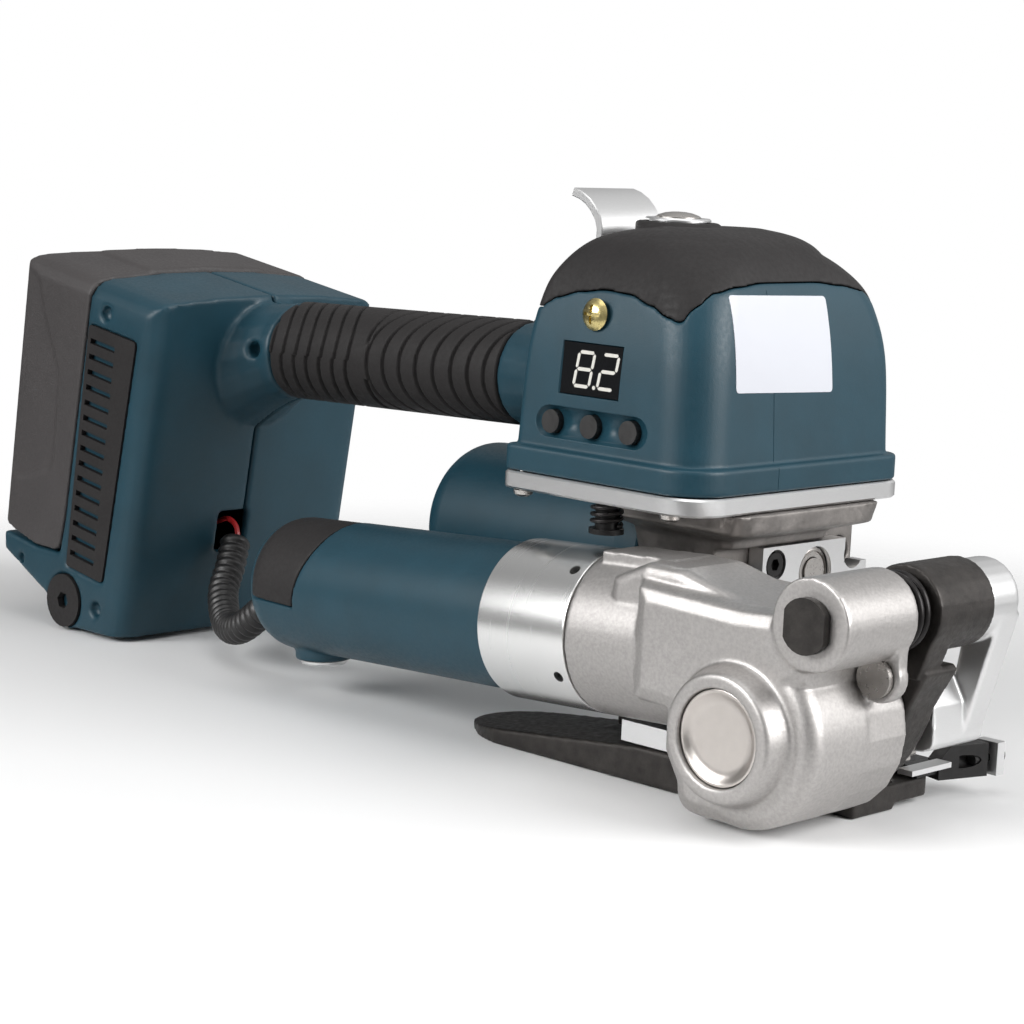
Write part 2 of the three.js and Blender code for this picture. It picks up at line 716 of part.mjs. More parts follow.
function gearHousing() {
  const reach = { bevel: faceRound, bevelSteps: 2 };
  const beyond = housingLeftFace + faceRound + overrun;
  const round = join(
    prism('y', housingSide(), housingFace, beyond, reach),
    prism('y', neckSide(), housingFace, beyond, reach),
  );
  const solid = cut(round, block(
    [-tailLength, tailLength], [housingLeftFace, housingLeftFace + tailLength], [-tailLength, tailLength]));

  const tubeLength = motorSeatBack - housingRear / 2;
  const tube = inMotorFrame(turned('x', [
    [0, 0], [castRadius, 0], [castRadius, tubeLength * 0.62], [castRadius * 0.9, tubeLength * 0.86],
    [castRadius * 0.55, tubeLength], [0, tubeLength],
  ], [0, 0], 28), tensionFrame);

  const bossFace = housingFace - bossHeight;
  const boss = turned('y', [
    [0, bossFace], [bossRadius - bossEdge, bossFace], [bossRadius, bossFace + bossEdge],
    [bossRadius + bossFlare / 3, bossFace + bossHeight * 0.6],
    [bossRadius + bossFlare, housingFace + faceRound / 3], [bossRadius, housingFace + faceRound],
    [0, housingFace + faceRound],
  ], [0, wheelHeight], 28);
  const hub = rod('y', hubRadius, hubFace, hubEnd, [pivotForward, pivotHeight], 24);

  const pinX = pivotForward + stopPinAhead;
  const pinZ = pivotHeight - stopPinDrop;
  const pinBossRadius = stopPinRadius + stopPinProud;
  const pinStart = hubEnd - stopPinFace;
  const pinBoss = join(
    rod('y', pinBossRadius, pinStart, hubEnd - fit, [pinX, pinZ], 24),
    block(
      [pinX - 2 * pinBossRadius, pinX + pinBossRadius * 0.9], [pinStart, hubEnd - fit],
      [pinZ, pivotHeight - hubRadius / 2]),
  );

  const pad = inMotorFrame(block(
    [castRadius * 0.12, castRadius * 0.12 + padLength],
    [-padWidth / 2 - padShift, padWidth / 2 - padShift], [0, castRadius + padRise]), tensionFrame);

  const innerFace = housingFace + cavityWall;
  const wheelAxis = [0, wheelHeight];
  const left = housingLeftFace + overrun;
  const hollows = [
    rod('y', cavityRadius, innerFace, left, wheelAxis, 24),
    rod('y', dishRadius + fit, bossFace - overrun, bossFace + dishSink + dishPlugDepth + fit, wheelAxis, 28),
    rod('y', wheelShaftRadius + fit, bossFace, innerFace + overrun, wheelAxis),
    rod('y', cavityRadius + sideCoverLip, housingLeftFace - sideCoverThick - fit, left, wheelAxis, 24),
    rod('y', pivotRadius + fit, hubFace - overrun, hubEnd + overrun, [pivotForward, pivotHeight]),
    inMotorFrame(rod('x', motorRadius + fit, -overrun, motorNose + fit, [0, 0], 24), tensionFrame),
    inMotorFrame(
      rod('x', wormRadius + wormRoom, 0, motorSeatBack + wormLength / 2 + fit, [0, 0]), tensionFrame,
    ),
    rod('y', stopPinShank + fit, pinStart - overrun, hubEnd - stopPinFace / 4, [pinX, pinZ]),
    rod('y', stopPinRadius + 2 * fit, housingFace - overrun, pinStart, [pinX, pinZ], 24),
    block(
      [armLowBack - 3 * fit, pivotForward + 2 * hubRadius], [bracketRight - 2 * fit, left],
      [armLowLevel - 3 * fit, pivotHeight + hubRadius]),
    rod('y', hubRadius + 2 * fit, hubEnd, left, [pivotForward, pivotHeight], 24),
  ];
  return {
    geometry: cut(join(solid, ridge(), tube, boss, hub, pinBoss, pad), ...hollows),
    pin: [pinX, pinZ],
    pinStart,
  };
}

// Toothed disc turned about an axis along Y
function toothedDisc(radius, toothDepth, teeth, from, to, bore, [x, z]) {
  const corners = [];
  for (let i = 0; i < teeth; i += 1) {
    const tooth = [[0, radius], [0.3, radius], [0.5, radius - toothDepth], [0.8, radius - toothDepth]];
    tooth.forEach(([share, reach]) => {
      const angle = ((i + share) / teeth) * 2 * Math.PI;
      corners.push([x + reach * Math.cos(angle), z + reach * Math.sin(angle)]);
    });
  }
  const disc = prism('y', outline(corners), from, to);
  return cut(disc, rod('y', bore, from - overrun, to + overrun, [x, z], 24));
}

// Dish-shaped plug that closes the wheel boss
function dishCap() {
  const face = housingFace - bossHeight + dishSink;
  return turned('y', [
    [0, face + dishCurve], [dishRadius * 0.5, face + dishCurve * 0.8],
    [dishRadius * 0.85, face + dishCurve * 0.35],
    [dishRadius, face], [dishRadius, face + dishPlugDepth], [0, face + dishPlugDepth],
  ], [0, wheelHeight], 32);
}

// Ring between the casting and the motor cover
function tensionRing() {
  const chamfer = (castRadius - ringBore) / 8;
  const ring = turned('x', [
    [ringBore, -ringLength], [castRadius - chamfer, -ringLength], [castRadius, -ringLength + chamfer],
    [castRadius, -fit - chamfer], [castRadius - chamfer, -fit], [ringBore, -fit], [ringBore, -ringLength],
  ], [0, 0], 28);
  const holes = [52 * deg, -28 * deg].map((angle) => {
    const hole = rod(
      'y', ringHoleRadius, -castRadius - overrun, -ringBore + overrun, [-ringLength / 8, 0], 12,
    );
    return hole.rotateX(-angle);
  });
  return cut(ring, ...holes);
}

function coverProfile(radius, tailRadius, front, length, crown) {
  const end = front - length;
  return [
    [0, end], [tailRadius * 0.62, end], [tailRadius * 0.86, end + crown * 0.16],
    [tailRadius * 0.96, end + crown * 0.5],
    [tailRadius, end + crown], [radius, front],
  ];
}

// Side view of the overmoulded inlay near the cover's rear end
function inlayOutline(grow) {
  const back = -ringLength - coverLength + inlayFrom - grow;
  const front = back + inlayLength + 2 * grow;
  const low = -coverTailRadius * 0.12 - grow;
  const shape = new THREE.Shape();
  shape.moveTo(back, low);
  shape.lineTo(front - inlayLength * 0.3, low - inlayLength * 0.05);
  shape.bezierCurveTo(
    front - inlayLength * 0.24, coverRadius * 0.35, front - inlayLength * 0.1, coverRadius * 0.5,
    front, coverRadius + overrun,
  );
  shape.lineTo(back, coverRadius + overrun);
  shape.closePath();
  return shape;
}

function tensionCover() {
  const front = -ringLength - fit;
  const outer = coverProfile(coverRadius, coverTailRadius, front, coverLength, coverCrown);
  const bore = motorRadius + fit;
  const inner = front - coverLength + coverWall;
  const shell = turned('x', [...outer, [bore, front], [bore, inner], [0, inner]], [0, 0], 28);
  const foot = rod(
    'z', footBossRadius, -coverRadius - footBossProud, -bore - footBossProud, [-footCapBack, 0], 24,
  );
  const pocket = cut(
    prism('y', inlayOutline(fit), -coverRadius - overrun, coverRadius + overrun),
    rod('x', coverTailRadius - inlayThick - fit, -ringLength - coverLength - overrun, 0, [0, 0], 28),
  );
  const screwBore = rod(
    'z', footCapRadius / 2 + fit, -coverRadius - overrun, -bore + overrun, [-footCapBack, 0], 16,
  );
  const leadHole = rod(
    'x', leadRadius + fit, front - coverLength - overrun, inner + overrun, [0, -bore * 0.2], 20,
  );
  return cut(join(shell, foot), pocket, screwBore, leadHole);
}

function coverFoot() {
  const seat = coverRadius + footBossProud + fit;
  return join(
    turned('z', [
      [0, -seat], [footCapRadius, -seat], [footCapRadius, -seat - footCapHeight / 2],
      [footCapRadius - footCapHeight / 2, -seat - footCapHeight], [0, -seat - footCapHeight],
    ], [-footCapBack, 0], 24),
    rod('z', footCapRadius / 2, -seat - footCapHeight / 2, -motorRadius - 2 * fit, [-footCapBack, 0], 16),
  );
}

function coverInlay() {
  const front = -ringLength - fit;
  const profile = coverProfile(coverRadius, coverTailRadius, front, coverLength, coverCrown);
  const outer = turned('x', [...profile, [0, front]], [0, 0], 28);
  const core = rod(
    'x', coverTailRadius - inlayThick, front - coverLength - overrun, front + overrun, [0, 0], 28,
  );
  return overlap(
    cut(outer, core), prism('y', inlayOutline(0), -coverRadius - overrun, coverRadius + overrun),
  );
}

function pivotShaft() {
  const end = armLeft + fit;
  const headFrom = hubFace - fit - pivotHeadHeight;
  const head = cut(
    rod('y', pivotHeadRadius, headFrom, hubFace - fit, [pivotForward, pivotHeight], 28),
    ...[1, -1].map((side) => {
      const flat = [pivotForward + side * pivotHeadFlat, pivotForward + side * 2 * pivotHeadRadius];
      return block(flat.sort((a, b) => a - b), [headFrom - overrun, hubFace], [0, headLevel]);
    }),
  );
  return join(head, rod('y', pivotRadius, hubFace - 2 * fit, end, [pivotForward, pivotHeight]));
}

// A round wire or sheath swept along a curve
function sweep(curve, radius, steps, sides) {
  const section = new THREE.Shape();
  for (let i = 0; i < sides; i += 1) {
    const angle = (i / sides) * 2 * Math.PI;
    const x = radius * Math.cos(angle);
    const y = radius * Math.sin(angle);
    if (i === 0) section.moveTo(x, y);
    else section.lineTo(x, y);
  }
  section.closePath();
  const options = { steps, bevelEnabled: false, extrudePath: curve, curveSegments: 1 };
  return clean(new THREE.ExtrudeGeometry(section, options));
}

class Helix extends THREE.Curve {
  constructor(radius, pitch, turns, start = 0) {
    super();
    Object.assign(this, { radius, pitch, turns, start });
  }

  getPoint(t, target = new THREE.Vector3()) {
    const angle = this.start + t * this.turns * 2 * Math.PI;
    return target.set(
      this.radius * Math.cos(angle), t * this.turns * this.pitch, this.radius * Math.sin(angle),
    );
  }
}

function coilGap(helix, wire) {
  const points = helix.getPoints(200);
  let least = Infinity;
  points.forEach((p, i) => {
    points.slice(i + 40).forEach((q) => {
      least = Math.min(least, p.distanceTo(q) - wire);
    });
  });
  return least;
}

function torsionSpring() {
  const helix = new Helix(springRadius, springPitch, springCoils, 0.2 * Math.PI);
  console.log('pivot spring, least gap between coils', coilGap(helix, springWire).toFixed(2));
  const coil = sweep(helix, springWire / 2, Math.round(springCoils * 8), 5);
  return coil.translate(pivotForward, hubEnd + springWire / 2 + fit / 2, pivotHeight);
}

// Fixed bracket: a hub round the shaft, an arm down its front and a guard ahead of the wheel
function pivotBracket() {
  const hub = rod('y', hubRadius, bracketRight + fit, bracketLeft, [pivotForward, pivotHeight], 28);
  const armFront = [pivotForward + hubRadius * 0.985, pivotHeight - hubRadius * 0.1];
  const armLow = [guardProud - guardThick * 0.3, armLowLevel];
  const arm = prism('y', outline([
    armFront, [pivotForward, pivotHeight], [armLowBack, guardTop + guardThick],
    [armLowBack, armLowLevel], armLow,
  ].reverse()), bracketRight + fit, bracketRight + bracketArmWidth);
  const reach = wheelRadius + fit * 4;
  const guardBack = new THREE.Shape();
  const footFront = baseFront - fit;
  const guardFoot = baseThick + fit;
  guardBack.moveTo(footFront, guardFoot);
  guardBack.quadraticCurveTo(
    guardProud - guardThick * 1.6, wheelHeight * 0.6, guardProud - guardThick * 0.9,
    guardTop - guardThick * 2,
  );
  guardBack.lineTo(guardProud, guardTop - guardThick / 4);
  guardBack.lineTo(guardProud - guardThick / 4, guardTop);
  guardBack.lineTo(guardProud - 2 * guardThick, guardTop);
  guardBack.absarc(
    0, wheelHeight, reach, Math.atan2(guardTop - wheelHeight - guardThick, reach * 0.8), -62 * deg, true,
  );
  guardBack.closePath();
  const right = housingLeftFace + fit;
  const guard = prism('y', guardBack, right, right + guardWidth);
  const slope = prism('x', outline([
    [right + guardWidth + overrun, guardTop + overrun], [right + guardWidth, guardTop],
    [right + guardFootWidth, guardFoot], [right + guardFootWidth, 0], [right + guardWidth + overrun, 0],
  ]), 0, guardProud + overrun);
  const bore = rod(
    'y', pivotRadius + fit, bracketRight - overrun, bracketLeft + overrun, [pivotForward, pivotHeight],
  );
  const wheelRoom = rod('y', reach, laneRight - overrun, laneLeft + overrun, [0, wheelHeight], 28);
  return cut(join(hub, arm, cut(guard, slope)), bore, wheelRoom);
}

// Weld arm: a hub, a slanted bar on its left and a broad curved jaw below
function weldArm() {
  const hub = turned('y', [
    [0, armRight], [armHubRadius, armRight], [armHubRadius, armLeft - armHubEdge],
    [armHubRadius - armHubEdge, armLeft],
    [0, armLeft],
  ], [pivotForward, pivotHeight], 24);
  const top = [pivotForward + armHubRadius * 0.97, pivotHeight - armHubRadius * 0.25];
  const low = [pivotForward + hubRadius * 0.1, jawBottom + barDepth * 0.6];
  const bar = prism('y', outline([
    top, [top[0] - barDepth * 1.6, top[1] - barDepth / 3], [low[0] - barDepth, low[1]], low,
  ].reverse()), armLeft - barWidth, armLeft, { bevel: edge, bevelSteps: 1 });
  const jaw = new THREE.Shape();
  jaw.moveTo(low[0], low[1]);
  jaw.quadraticCurveTo(low[0] + edge, jawBottom, low[0] - barDepth, jawBottom);
  jaw.lineTo(pivotForward - hubRadius * 0.9, jawBottom);
  jaw.quadraticCurveTo(pivotForward - hubRadius * 0.2, jawBottom + barDepth,
    low[0] - barDepth * 0.75, low[1] + barDepth * 2.3);
  jaw.lineTo(low[0] - barDepth * 0.1, low[1] + barDepth * 1.2);
  jaw.closePath();
  const foot = prism('y', jaw, armRight - jawSpread, armLeft);
  const bore = rod(
    'y', pivotRadius + fit, armRight - overrun, armLeft + overrun, [pivotForward, pivotHeight],
  );
  const wheelRoom = rod(
    'y', wheelRadius + 4 * fit, armRight - jawSpread - overrun, laneLeft + 2 * fit, [0, wheelHeight], 28,
  );
  const nutRoom = rod('y', shaftNutRadius + 4 * fit, laneLeft, armRight, [0, wheelHeight], 24);
  const bracketRoom = rod(
    'y', hubRadius + 2 * fit, armRight - jawSpread - overrun, armRight, [pivotForward, pivotHeight], 28,
  );
  return cut(join(hub, bar, foot), bore, wheelRoom, nutRoom, bracketRoom);
}

// Weld unit: one casting with a flange on top, a motor tube behind and a leg on the base plate
const castTop = headLevel - fit;
const flangeUnder = castTop - castFlangeThick;
const facePlateTop = flangeUnder - castFlangeThick * 0.4;
const frontX = -weldFaceBack - facePlateThick - fit;
const eccentricZ = weldFaceHeight - Math.tan(weldTilt) * (jawFront + jawPlateThick / 2 - weldFaceBack);
const jawHole = eccentricRadius + eccentricShift + jawTravel + fit;

function mainFrame() {
  const plan = outline([
    [-castRear, -castRight, castCorner], [-castFront, -castRight, castCorner],
    [-castFront, castLeft, castCorner], [-castRear, castLeft, castCorner],
  ]);
  const top = prism('z', plan, flangeUnder + castFlangeThick / 3, castTop);
  const midX = -(castRear + castFront) / 2;
  const midY = (castLeft - castRight) / 2;
  const levels = [
    [castFlangeThick, 0], [castFlangeThick / 3, castFlangeThick / 8], [0, castFlangeThick],
    [-castFlangeThick, castCorner],
  ];
  const corners = headCorners.map(() => castCorner / 2);
  const under = loft(levels.map(([rise, inset]) => {
    const level = flangeUnder + rise - fit;
    const halfX = (castRear - castFront) / 2 - inset;
    const halfY = (castLeft + castRight) / 2 - inset;
    return roundRing(halfX, halfY, corners, 3).map(([a, b]) => (
      new THREE.Vector3(midX + a - inset / 4, midY + b, level)));
  }).reverse());
  const tube = inMotorFrame(turned('x', [
    [0, -weldCastLength], [weldCastRadius, -weldCastLength], [weldCastRadius, -weldCastRadius / 2],
    [weldCastRadius * 0.8, -facePlateThick - fit], [0, -facePlateThick - fit],
  ], [0, 0], 28), weldFrame);
  const right = weldAxisSide - faceHalfWidth;
  const left = weldAxisSide + faceHalfWidth;
  const box = block(
    [-castRear + castCorner, frontX], [right, left], [weldFaceHeight - weldCastRadius / 4, castTop - fit],
  );
  const leg = block([-weldFaceBack - legLength, frontX], [laneLeft + fit, laneLeft + fit + legWidth],
    [baseThick + fit, weldFaceHeight]);
  const sky = block([-tailLength, 0], [-tailLength, tailLength], [castTop, headLevel * 2]);
  const jawGap = jawTravel + 2 * fit;
  const slotX = [-jawFront - jawPlateThick - jawGap, -jawFront + jawGap];
  const reach = jawRing + jawGap;
  const slot = block(slotX, [weldAxisSide - reach, weldAxisSide + reach], [-overrun, eccentricZ + reach]);
  const lowSlot = block(
    slotX, [-castRight, weldAxisSide + reach], [-overrun, weldFaceHeight - weldCastRadius / 2],
  );
  const motorBore = inMotorFrame(
    rod(
      'x', weldMotorRadius + fit, -weldCastLength - overrun, -weldCastLength + weldMotorNose + fit,
      [0, 0], 28,
    ),
    weldFrame,
  );
  const shaftBore = inMotorFrame(
    rod('x', eccentricRadius + eccentricShift + 2 * fit, -weldCastLength, overrun, [0, 0], 24), weldFrame);
  const bearingBore = inMotorFrame(
    rod('x', bearingRadius + fit, -bearingDepth - 2 * fit, overrun, [0, 0], 24), weldFrame);
  const screwBores = faceScrews().flatMap(([y, z, back]) => [
    rod('x', faceScrewRadius / 2 + fit, -weldFaceBack - faceScrewDepth - 3 * fit, 0, [y, z], 20),
    rod('x', faceScrewBore, back - faceScrewHeight - 2 * fit, 0, [y, z], 24),
  ]);
  const plateRoom = block(
    [frontX, 0], [-castRight, weldAxisSide + faceHalfWidth + overrun], [0, facePlateTop + fit],
  );
  return cut(
    join(top, under, tube, box, leg), sky, plateRoom, slot, lowSlot, motorBore, shaftBore, bearingBore,
    ...screwBores,
  );
}

// Each face screw: y, z and the plane that its head sits behind
function faceScrews() {
  const first = weldAxisSide - faceHalfWidth + faceScrewBore + 5 * fit;
  return [
    [first, weldFaceHeight + bearingRadius / 2, -weldFaceBack],
    [first + faceScrewSpan, weldFaceHeight + bearingRadius / 2 + fit, frontX],
  ];
}

function socketScrew([y, z, back], length, radius, headHeight) {
  const front = back - fit;
  const hexShare = 0.52;
  const head = rod('x', radius, front - headHeight, front, [y, z], 24);
  const shank = rod('x', radius / 2, -length, front - headHeight / 2, [y, z], 12);
  const socket = prism('x', hexagon(y, z, radius * hexShare), front - headHeight * hexShare, front + overrun);
  return cut(join(head, shank), socket);
}

function hexagon(a, b, radius) {
  const turns = [0, 1, 2, 3, 4, 5];
  return outline(turns.map((i) => (
    [a + radius * Math.cos(i * 60 * deg), b + radius * Math.sin(i * 60 * deg)])));
}

function facePlate() {
  const right = weldAxisSide - faceHalfWidth;
  const left = weldAxisSide + faceHalfWidth;
  const step = right + faceStep;
  const low = weldFaceHeight - bearingRadius * 1.3;
  const plate = prism('x', outline([
    [right, low], [left, low], [left, weldFaceHeight + fit * 5], [step, weldFaceHeight + fit * 5],
    [step, facePlateTop], [right, facePlateTop],
  ]), -weldFaceBack - facePlateThick, -weldFaceBack);
  const [first, second] = faceScrews();
  return cut(
    plate,
    inMotorFrame(rod('x', bearingRadius + fit, -2 * bearingDepth, overrun, [0, 0], 24), weldFrame),
    rod('x', faceScrewRadius / 2 + fit, -weldFaceBack - 2 * facePlateThick, 0, first.slice(0, 2), 16),
    rod('x', faceScrewBore, -weldFaceBack - faceScrewHeight - 2 * fit, 0, first.slice(0, 2), 24),
    rod('x', faceScrewBore, -weldFaceBack - 2 * facePlateThick, 0, second.slice(0, 2), 24),
  );
}

function weldJaw() {
  const y = weldAxisSide;
  const footTop = baseThick + strapThick + fit + jawFoot;
  const footLow = baseThick + strapThick + fit;
  const footRight = laneRight + jawTravel + fit * 4;
  const footLeft = laneLeft;
  const arm = outline([
    [footRight, footLow], [footLeft, footLow], [footLeft + jawRing, footTop],
    [y + jawRing * 0.5, weldFaceHeight / 2],
    [y + jawRing, eccentricZ], [y - jawRing, eccentricZ], [y - jawRing * 0.9, weldFaceHeight * 0.65],
    [footLeft - jawFoot, footTop], [footRight, footTop],
  ]);
  const from = -jawFront - jawPlateThick;
  const plate = join(
    prism('x', arm, from, -jawFront), rod('x', jawRing, from, -jawFront, [y, eccentricZ], 24),
  );
  return cut(plate, rod('x', jawHole, from - overrun, -jawFront + overrun, [y, eccentricZ], 24));
}

function eccentricShaft() {
  const radius = eccentricRadius - fit;
  const mid = -(jawFront - weldFaceBack) / Math.cos(weldTilt) - jawPlateThick / 2;
  const half = jawPlateThick / 2 + jawTravel;
  return join(
    rod('x', radius, weldMotorNose - weldCastLength + fit, -2 * fit, [0, 0], 24),
    rod('x', eccentricRadius, mid - half, mid + half, [0, eccentricShift], 24),
  );
}

function weldBearing() {
  const inner = eccentricRadius;
  return turned('x', [
    [inner, -bearingDepth], [bearingRadius, -bearingDepth], [bearingRadius, -bearingRecess - fit],
    [bearingRadius * 0.86, -bearingRecess], [bearingRadius * 0.84, -bearingRecess - edge],
    [inner + bearingRace, -bearingRecess - edge], [inner + bearingRace, -bearingRecess],
    [inner, -bearingRecess],
    [inner, -bearingDepth],
  ], [0, 0], 24);
}

function weldCover() {
  const front = -weldCastLength - fit;
  const bore = weldMotorRadius + fit;
  const inner = front - weldCoverLength + weldCoverWall;
  const end = front - weldCoverLength;
  const r = weldCoverRadius;
  const shell = turned('x', [
    [0, end], [r * 0.6, end], [r * 0.84, end + weldNose * 0.16], [r * 0.95, end + weldNose / 2],
    [r * 0.985, end + weldNose], [r * 0.985, front - weldCollar], [r, front - weldCollar + edge], [r, front],
    [bore, front], [bore, inner], [0, inner],
  ], [0, 0], 28);
  return shell;
}

// Head plate and the parts below it
function headPlan() {
  const [frontLeft, rearLeft, rearRight, frontRight] = headCorners;
  return outline([
    [-headRear, -headRight, rearRight], [-headFront, -headRight, frontRight],
    [-headFront, headLeft, frontLeft], [-headRear, headLeft, rearLeft],
  ]);
}

const plateScrews = [
  [-headRear + plateScrewRear[0], -headRight + plateScrewRear[1]],
  [-headFront - plateScrewFront[0], -headRight + plateScrewFront[1]],
];
const plungerAt = [-weldFaceBack - legLength - 2 * plungerRadius, -motorAxisSide];

function headPlate() {
  const plate = prism('z', headPlan(), headLevel, headPlateTop, { bevel: edge, bevelSteps: 1 });
  const holes = plateScrews.map((at) => (
    rod('z', screwShank + fit, headLevel - overrun, headPlateTop + overrun, at, 12)));
  const plungerHole = rod(
    'z', plungerRadius + fit, headLevel - overrun, headPlateTop + overrun, plungerAt, 20,
  );
  return cut(plate, plungerHole, ...holes);
}

function plateScrew(at) {
  const head = headLevel - fit;
  return join(
    turned('z', [
      [0, head - plateScrewHead], [plateScrewRadius * 0.55, head - plateScrewHead * 0.92],
      [plateScrewRadius * 0.9, head - plateScrewHead * 0.58], [plateScrewRadius, head], [0, head],
    ], at, 20),
    rod('z', screwShank, head - plateScrewHead / 2, plateScrewTop, at, 12),
  );
}

function switchPlunger() {
  const plungerTop = headPlateTop + fit;
  const low = headLevel - plungerDrop;
  return turned('z', [
    [0, low], [plungerWasher, low], [plungerWasher, low + washerThick], [plungerRadius, low + washerThick],
    [plungerRadius, plungerTop], [0, plungerTop],
  ], plungerAt, 20);
}

function plungerSpring() {
  const turns = 3;
  const length = plungerDrop - washerThick - 2 * fit - plungerWire;
  const helix = new Helix(plungerRadius + plungerWire / 2 + fit, length / turns, turns);
  console.log('plunger spring, least gap between coils', coilGap(helix, plungerWire).toFixed(2));
  const coil = sweep(helix, plungerWire / 2, turns * 8, 5);
  coil.rotateX(Math.PI / 2);
  return coil.translate(...plungerAt, headLevel - plungerDrop + washerThick + fit + plungerWire / 2);
}

// Head dome: rounded rectangles that lean in and close towards the top
function domeRings(inset, shares = domeShares) {
  const base = flangeTop - fit;
  const height = domeTop - base - inset;
  const least = buttonRadius;
  return shares.map(([share, fallShare]) => {
    const rise = share * height;
    const edgeAt = shellInset + inset;
    const fall = domeRound * fallShare + edgeAt;
    const front = headHalfX - fall - rise * Math.tan(frontLean);
    const rear = headHalfX - rearRound * fallShare - edgeAt - rise * Math.tan(rearLean);
    const [left, right] = [leftLean, rightLean].map((lean) => headHalfY - fall - rise * Math.tan(lean));
    const halfX = Math.max(least, (front + rear) / 2);
    const halfY = Math.max(least, (left + right) / 2);
    const radii = headCorners.map((radius, i) => (
      radius - inset / 2 + domeRound * fallShare * cornerSpread[i]));
    return roundRing(halfX, halfY, radii, 4).map(([a, b]) => (
      new THREE.Vector3(headMidX + (front - rear) / 2 + a, headMidY + (left - right) / 2 + b, base + rise)));
  });
}

function capBoundary(angle) {
  const turn = Math.abs(angle) / deg;
  const table = capLine;
  const next = Math.max(1, table.findIndex(([at]) => at >= turn));
  const [a0, z0] = table[next - 1];
  const [a1, z1] = table[next];
  const share = (turn - a0) / (a1 - a0);
  const smooth = share * share * (3 - 2 * share);
  return domeTop - (z0 + (z1 - z0) * smooth);
}

function belowCap(drop) {
  const steps = 56;
  const ring = (radius, height) => Array.from({ length: steps }, (_, i) => {
    const angle = ((i / steps) * 2 - 1) * Math.PI;
    return new THREE.Vector3(
      headMidX + radius * Math.cos(angle), headMidY + radius * Math.sin(angle),
      height ?? capBoundary(angle) - drop);
  });
  return loft([ring(2 * headHalfY, headLevel), ring(2 * headHalfY), ring(headHalfX / 2)]);
}

function dome() {
  const inner = loft(domeRings(shellWall, domeShares.filter((_, i) => i % 2 === 0))).translate(0, 0, -fit);
  return cut(loft(domeRings(0)), inner);
}

// Frame of the display side, leaning with the shell: x along the face, y outwards from it, z up it
const displayY = headMidY - headHalfY + shellInset;
function onDisplay(geometry, drop) {
  geometry.rotateX(-rightLean);
  const rise = windowLevel - drop - flangeTop;
  geometry.translate(-windowBack, displayY + rise * Math.tan(rightLean), windowLevel - drop);
  return geometry;
}

function headShell(domeForm) {
  const flange = prism('z', headPlan(), headPlateTop + fit, flangeTop, { bevel: edge, bevelSteps: 1 });
  const inside = loft([headPlateTop, flangeTop + fit].map((level) => (
    domeRings(shellWall)[0].map((p) => p.clone().setZ(level)))));
  const wall = overlap(domeForm, belowCap(fit / 2));
  const window = onDisplay(block(
    [-windowWidth / 2 - fit, windowWidth / 2 + fit], [-windowDepth - fit, 3 * overrun],
    [-windowHeight / 2 - fit, windowHeight / 2 + fit]), 0);
  const panel = onDisplay(prism('y', rectangle(
    keyShift - keyPitch - keyRadius * 1.9, keyShift + keyPitch + keyRadius * 1.9, -keyPanelHeight / 2,
    keyPanelHeight / 2,
    keyPanelHeight / 2), -overrun, keyRecess), keyDrop);
  const keyHoles = [-1, 0, 1].map((i) => onDisplay(
    rod('y', keyRadius + fit, -overrun, 4 * overrun, [keyShift + i * keyPitch, 0], 20), keyDrop));
  const screwHole = onDisplay(
    rod('y', screwShank + fit, -overrun, 4 * overrun, [0, 0], 16), -displayScrewRise,
  );
  const screws = plateScrews.map((at) => (
    rod('z', screwShank + fit, headPlateTop, plateScrewTop + 2 * fit, at, 12)));
  const plungerRoom = rod('z', plungerRadius + fit, headPlateTop, flangeTop - fit, plungerAt, 20);
  return cut(join(cut(flange, inside), wall), window, panel, ...keyHoles, screwHole, plungerRoom, ...screws);
}

function headCap(domeForm) {
  const collar = turned('z', [
    [0, domeTop - collarDepth], [collarRadius, domeTop - collarDepth],
    [collarRadius, collarTop - collarRise / 2],
    [collarRadius - collarRise / 2, collarTop], [0, collarTop],
  ], buttonAt, 28);
  const bore = rod('z', bezelNeck + fit, domeTop - 2 * collarDepth, collarTop + overrun, buttonAt, 24);
  return cut(join(domeForm, collar), belowCap(-fit / 2), bore);
}

function buttonBezel() {
  const seat = collarTop + fit;
  const bore = buttonRadius + fit;
  const low = domeTop - shellWall - fit;
  return turned('z', [
    [bore, low], [bezelNeck, low], [bezelNeck, seat], [bezelRadius, seat],
    [bezelRadius, seat + bezelThick / 2],
    [bezelRadius - bezelThick / 2, seat + bezelThick], [bore, seat + bezelThick], [bore, low],
  ], buttonAt, 28);
}

function pushButton() {
  const crown = domeTop + buttonRise;
  const rim = crown - buttonCrown;
  return turned('z', [
    [0, crown - buttonBody], [buttonRadius, crown - buttonBody], [buttonRadius, rim],
    [buttonRadius * 0.9, rim + buttonCrown * 0.3], [buttonRadius * 0.6, rim + buttonCrown * 0.75],
    [buttonRadius * 0.3, rim + buttonCrown * 0.94], [0, crown],
  ], buttonAt, 24);
}

function displayScrew() {
  const r = displayScrewRadius;
  const head = turned('y', [
    [0, -r * 0.5], [r * 0.45, -r * 0.46], [r * 0.8, -r * 0.32], [r, -fit], [0, -fit],
  ], [0, 0], 24);
  const whole = join(head, rod('y', screwShank, -2 * fit, keyLength, [0, 0], 12));
  const arm = r * 0.6;
  const slot = r * 0.1;
  return onDisplay(toGeometry(cut(
    whole,
    block([-arm, arm], [-r, -r * 0.24], [-slot, slot]),
    block([-slot, slot], [-r, -r * 0.24], [-arm, arm]),
  )), -displayScrewRise);
}

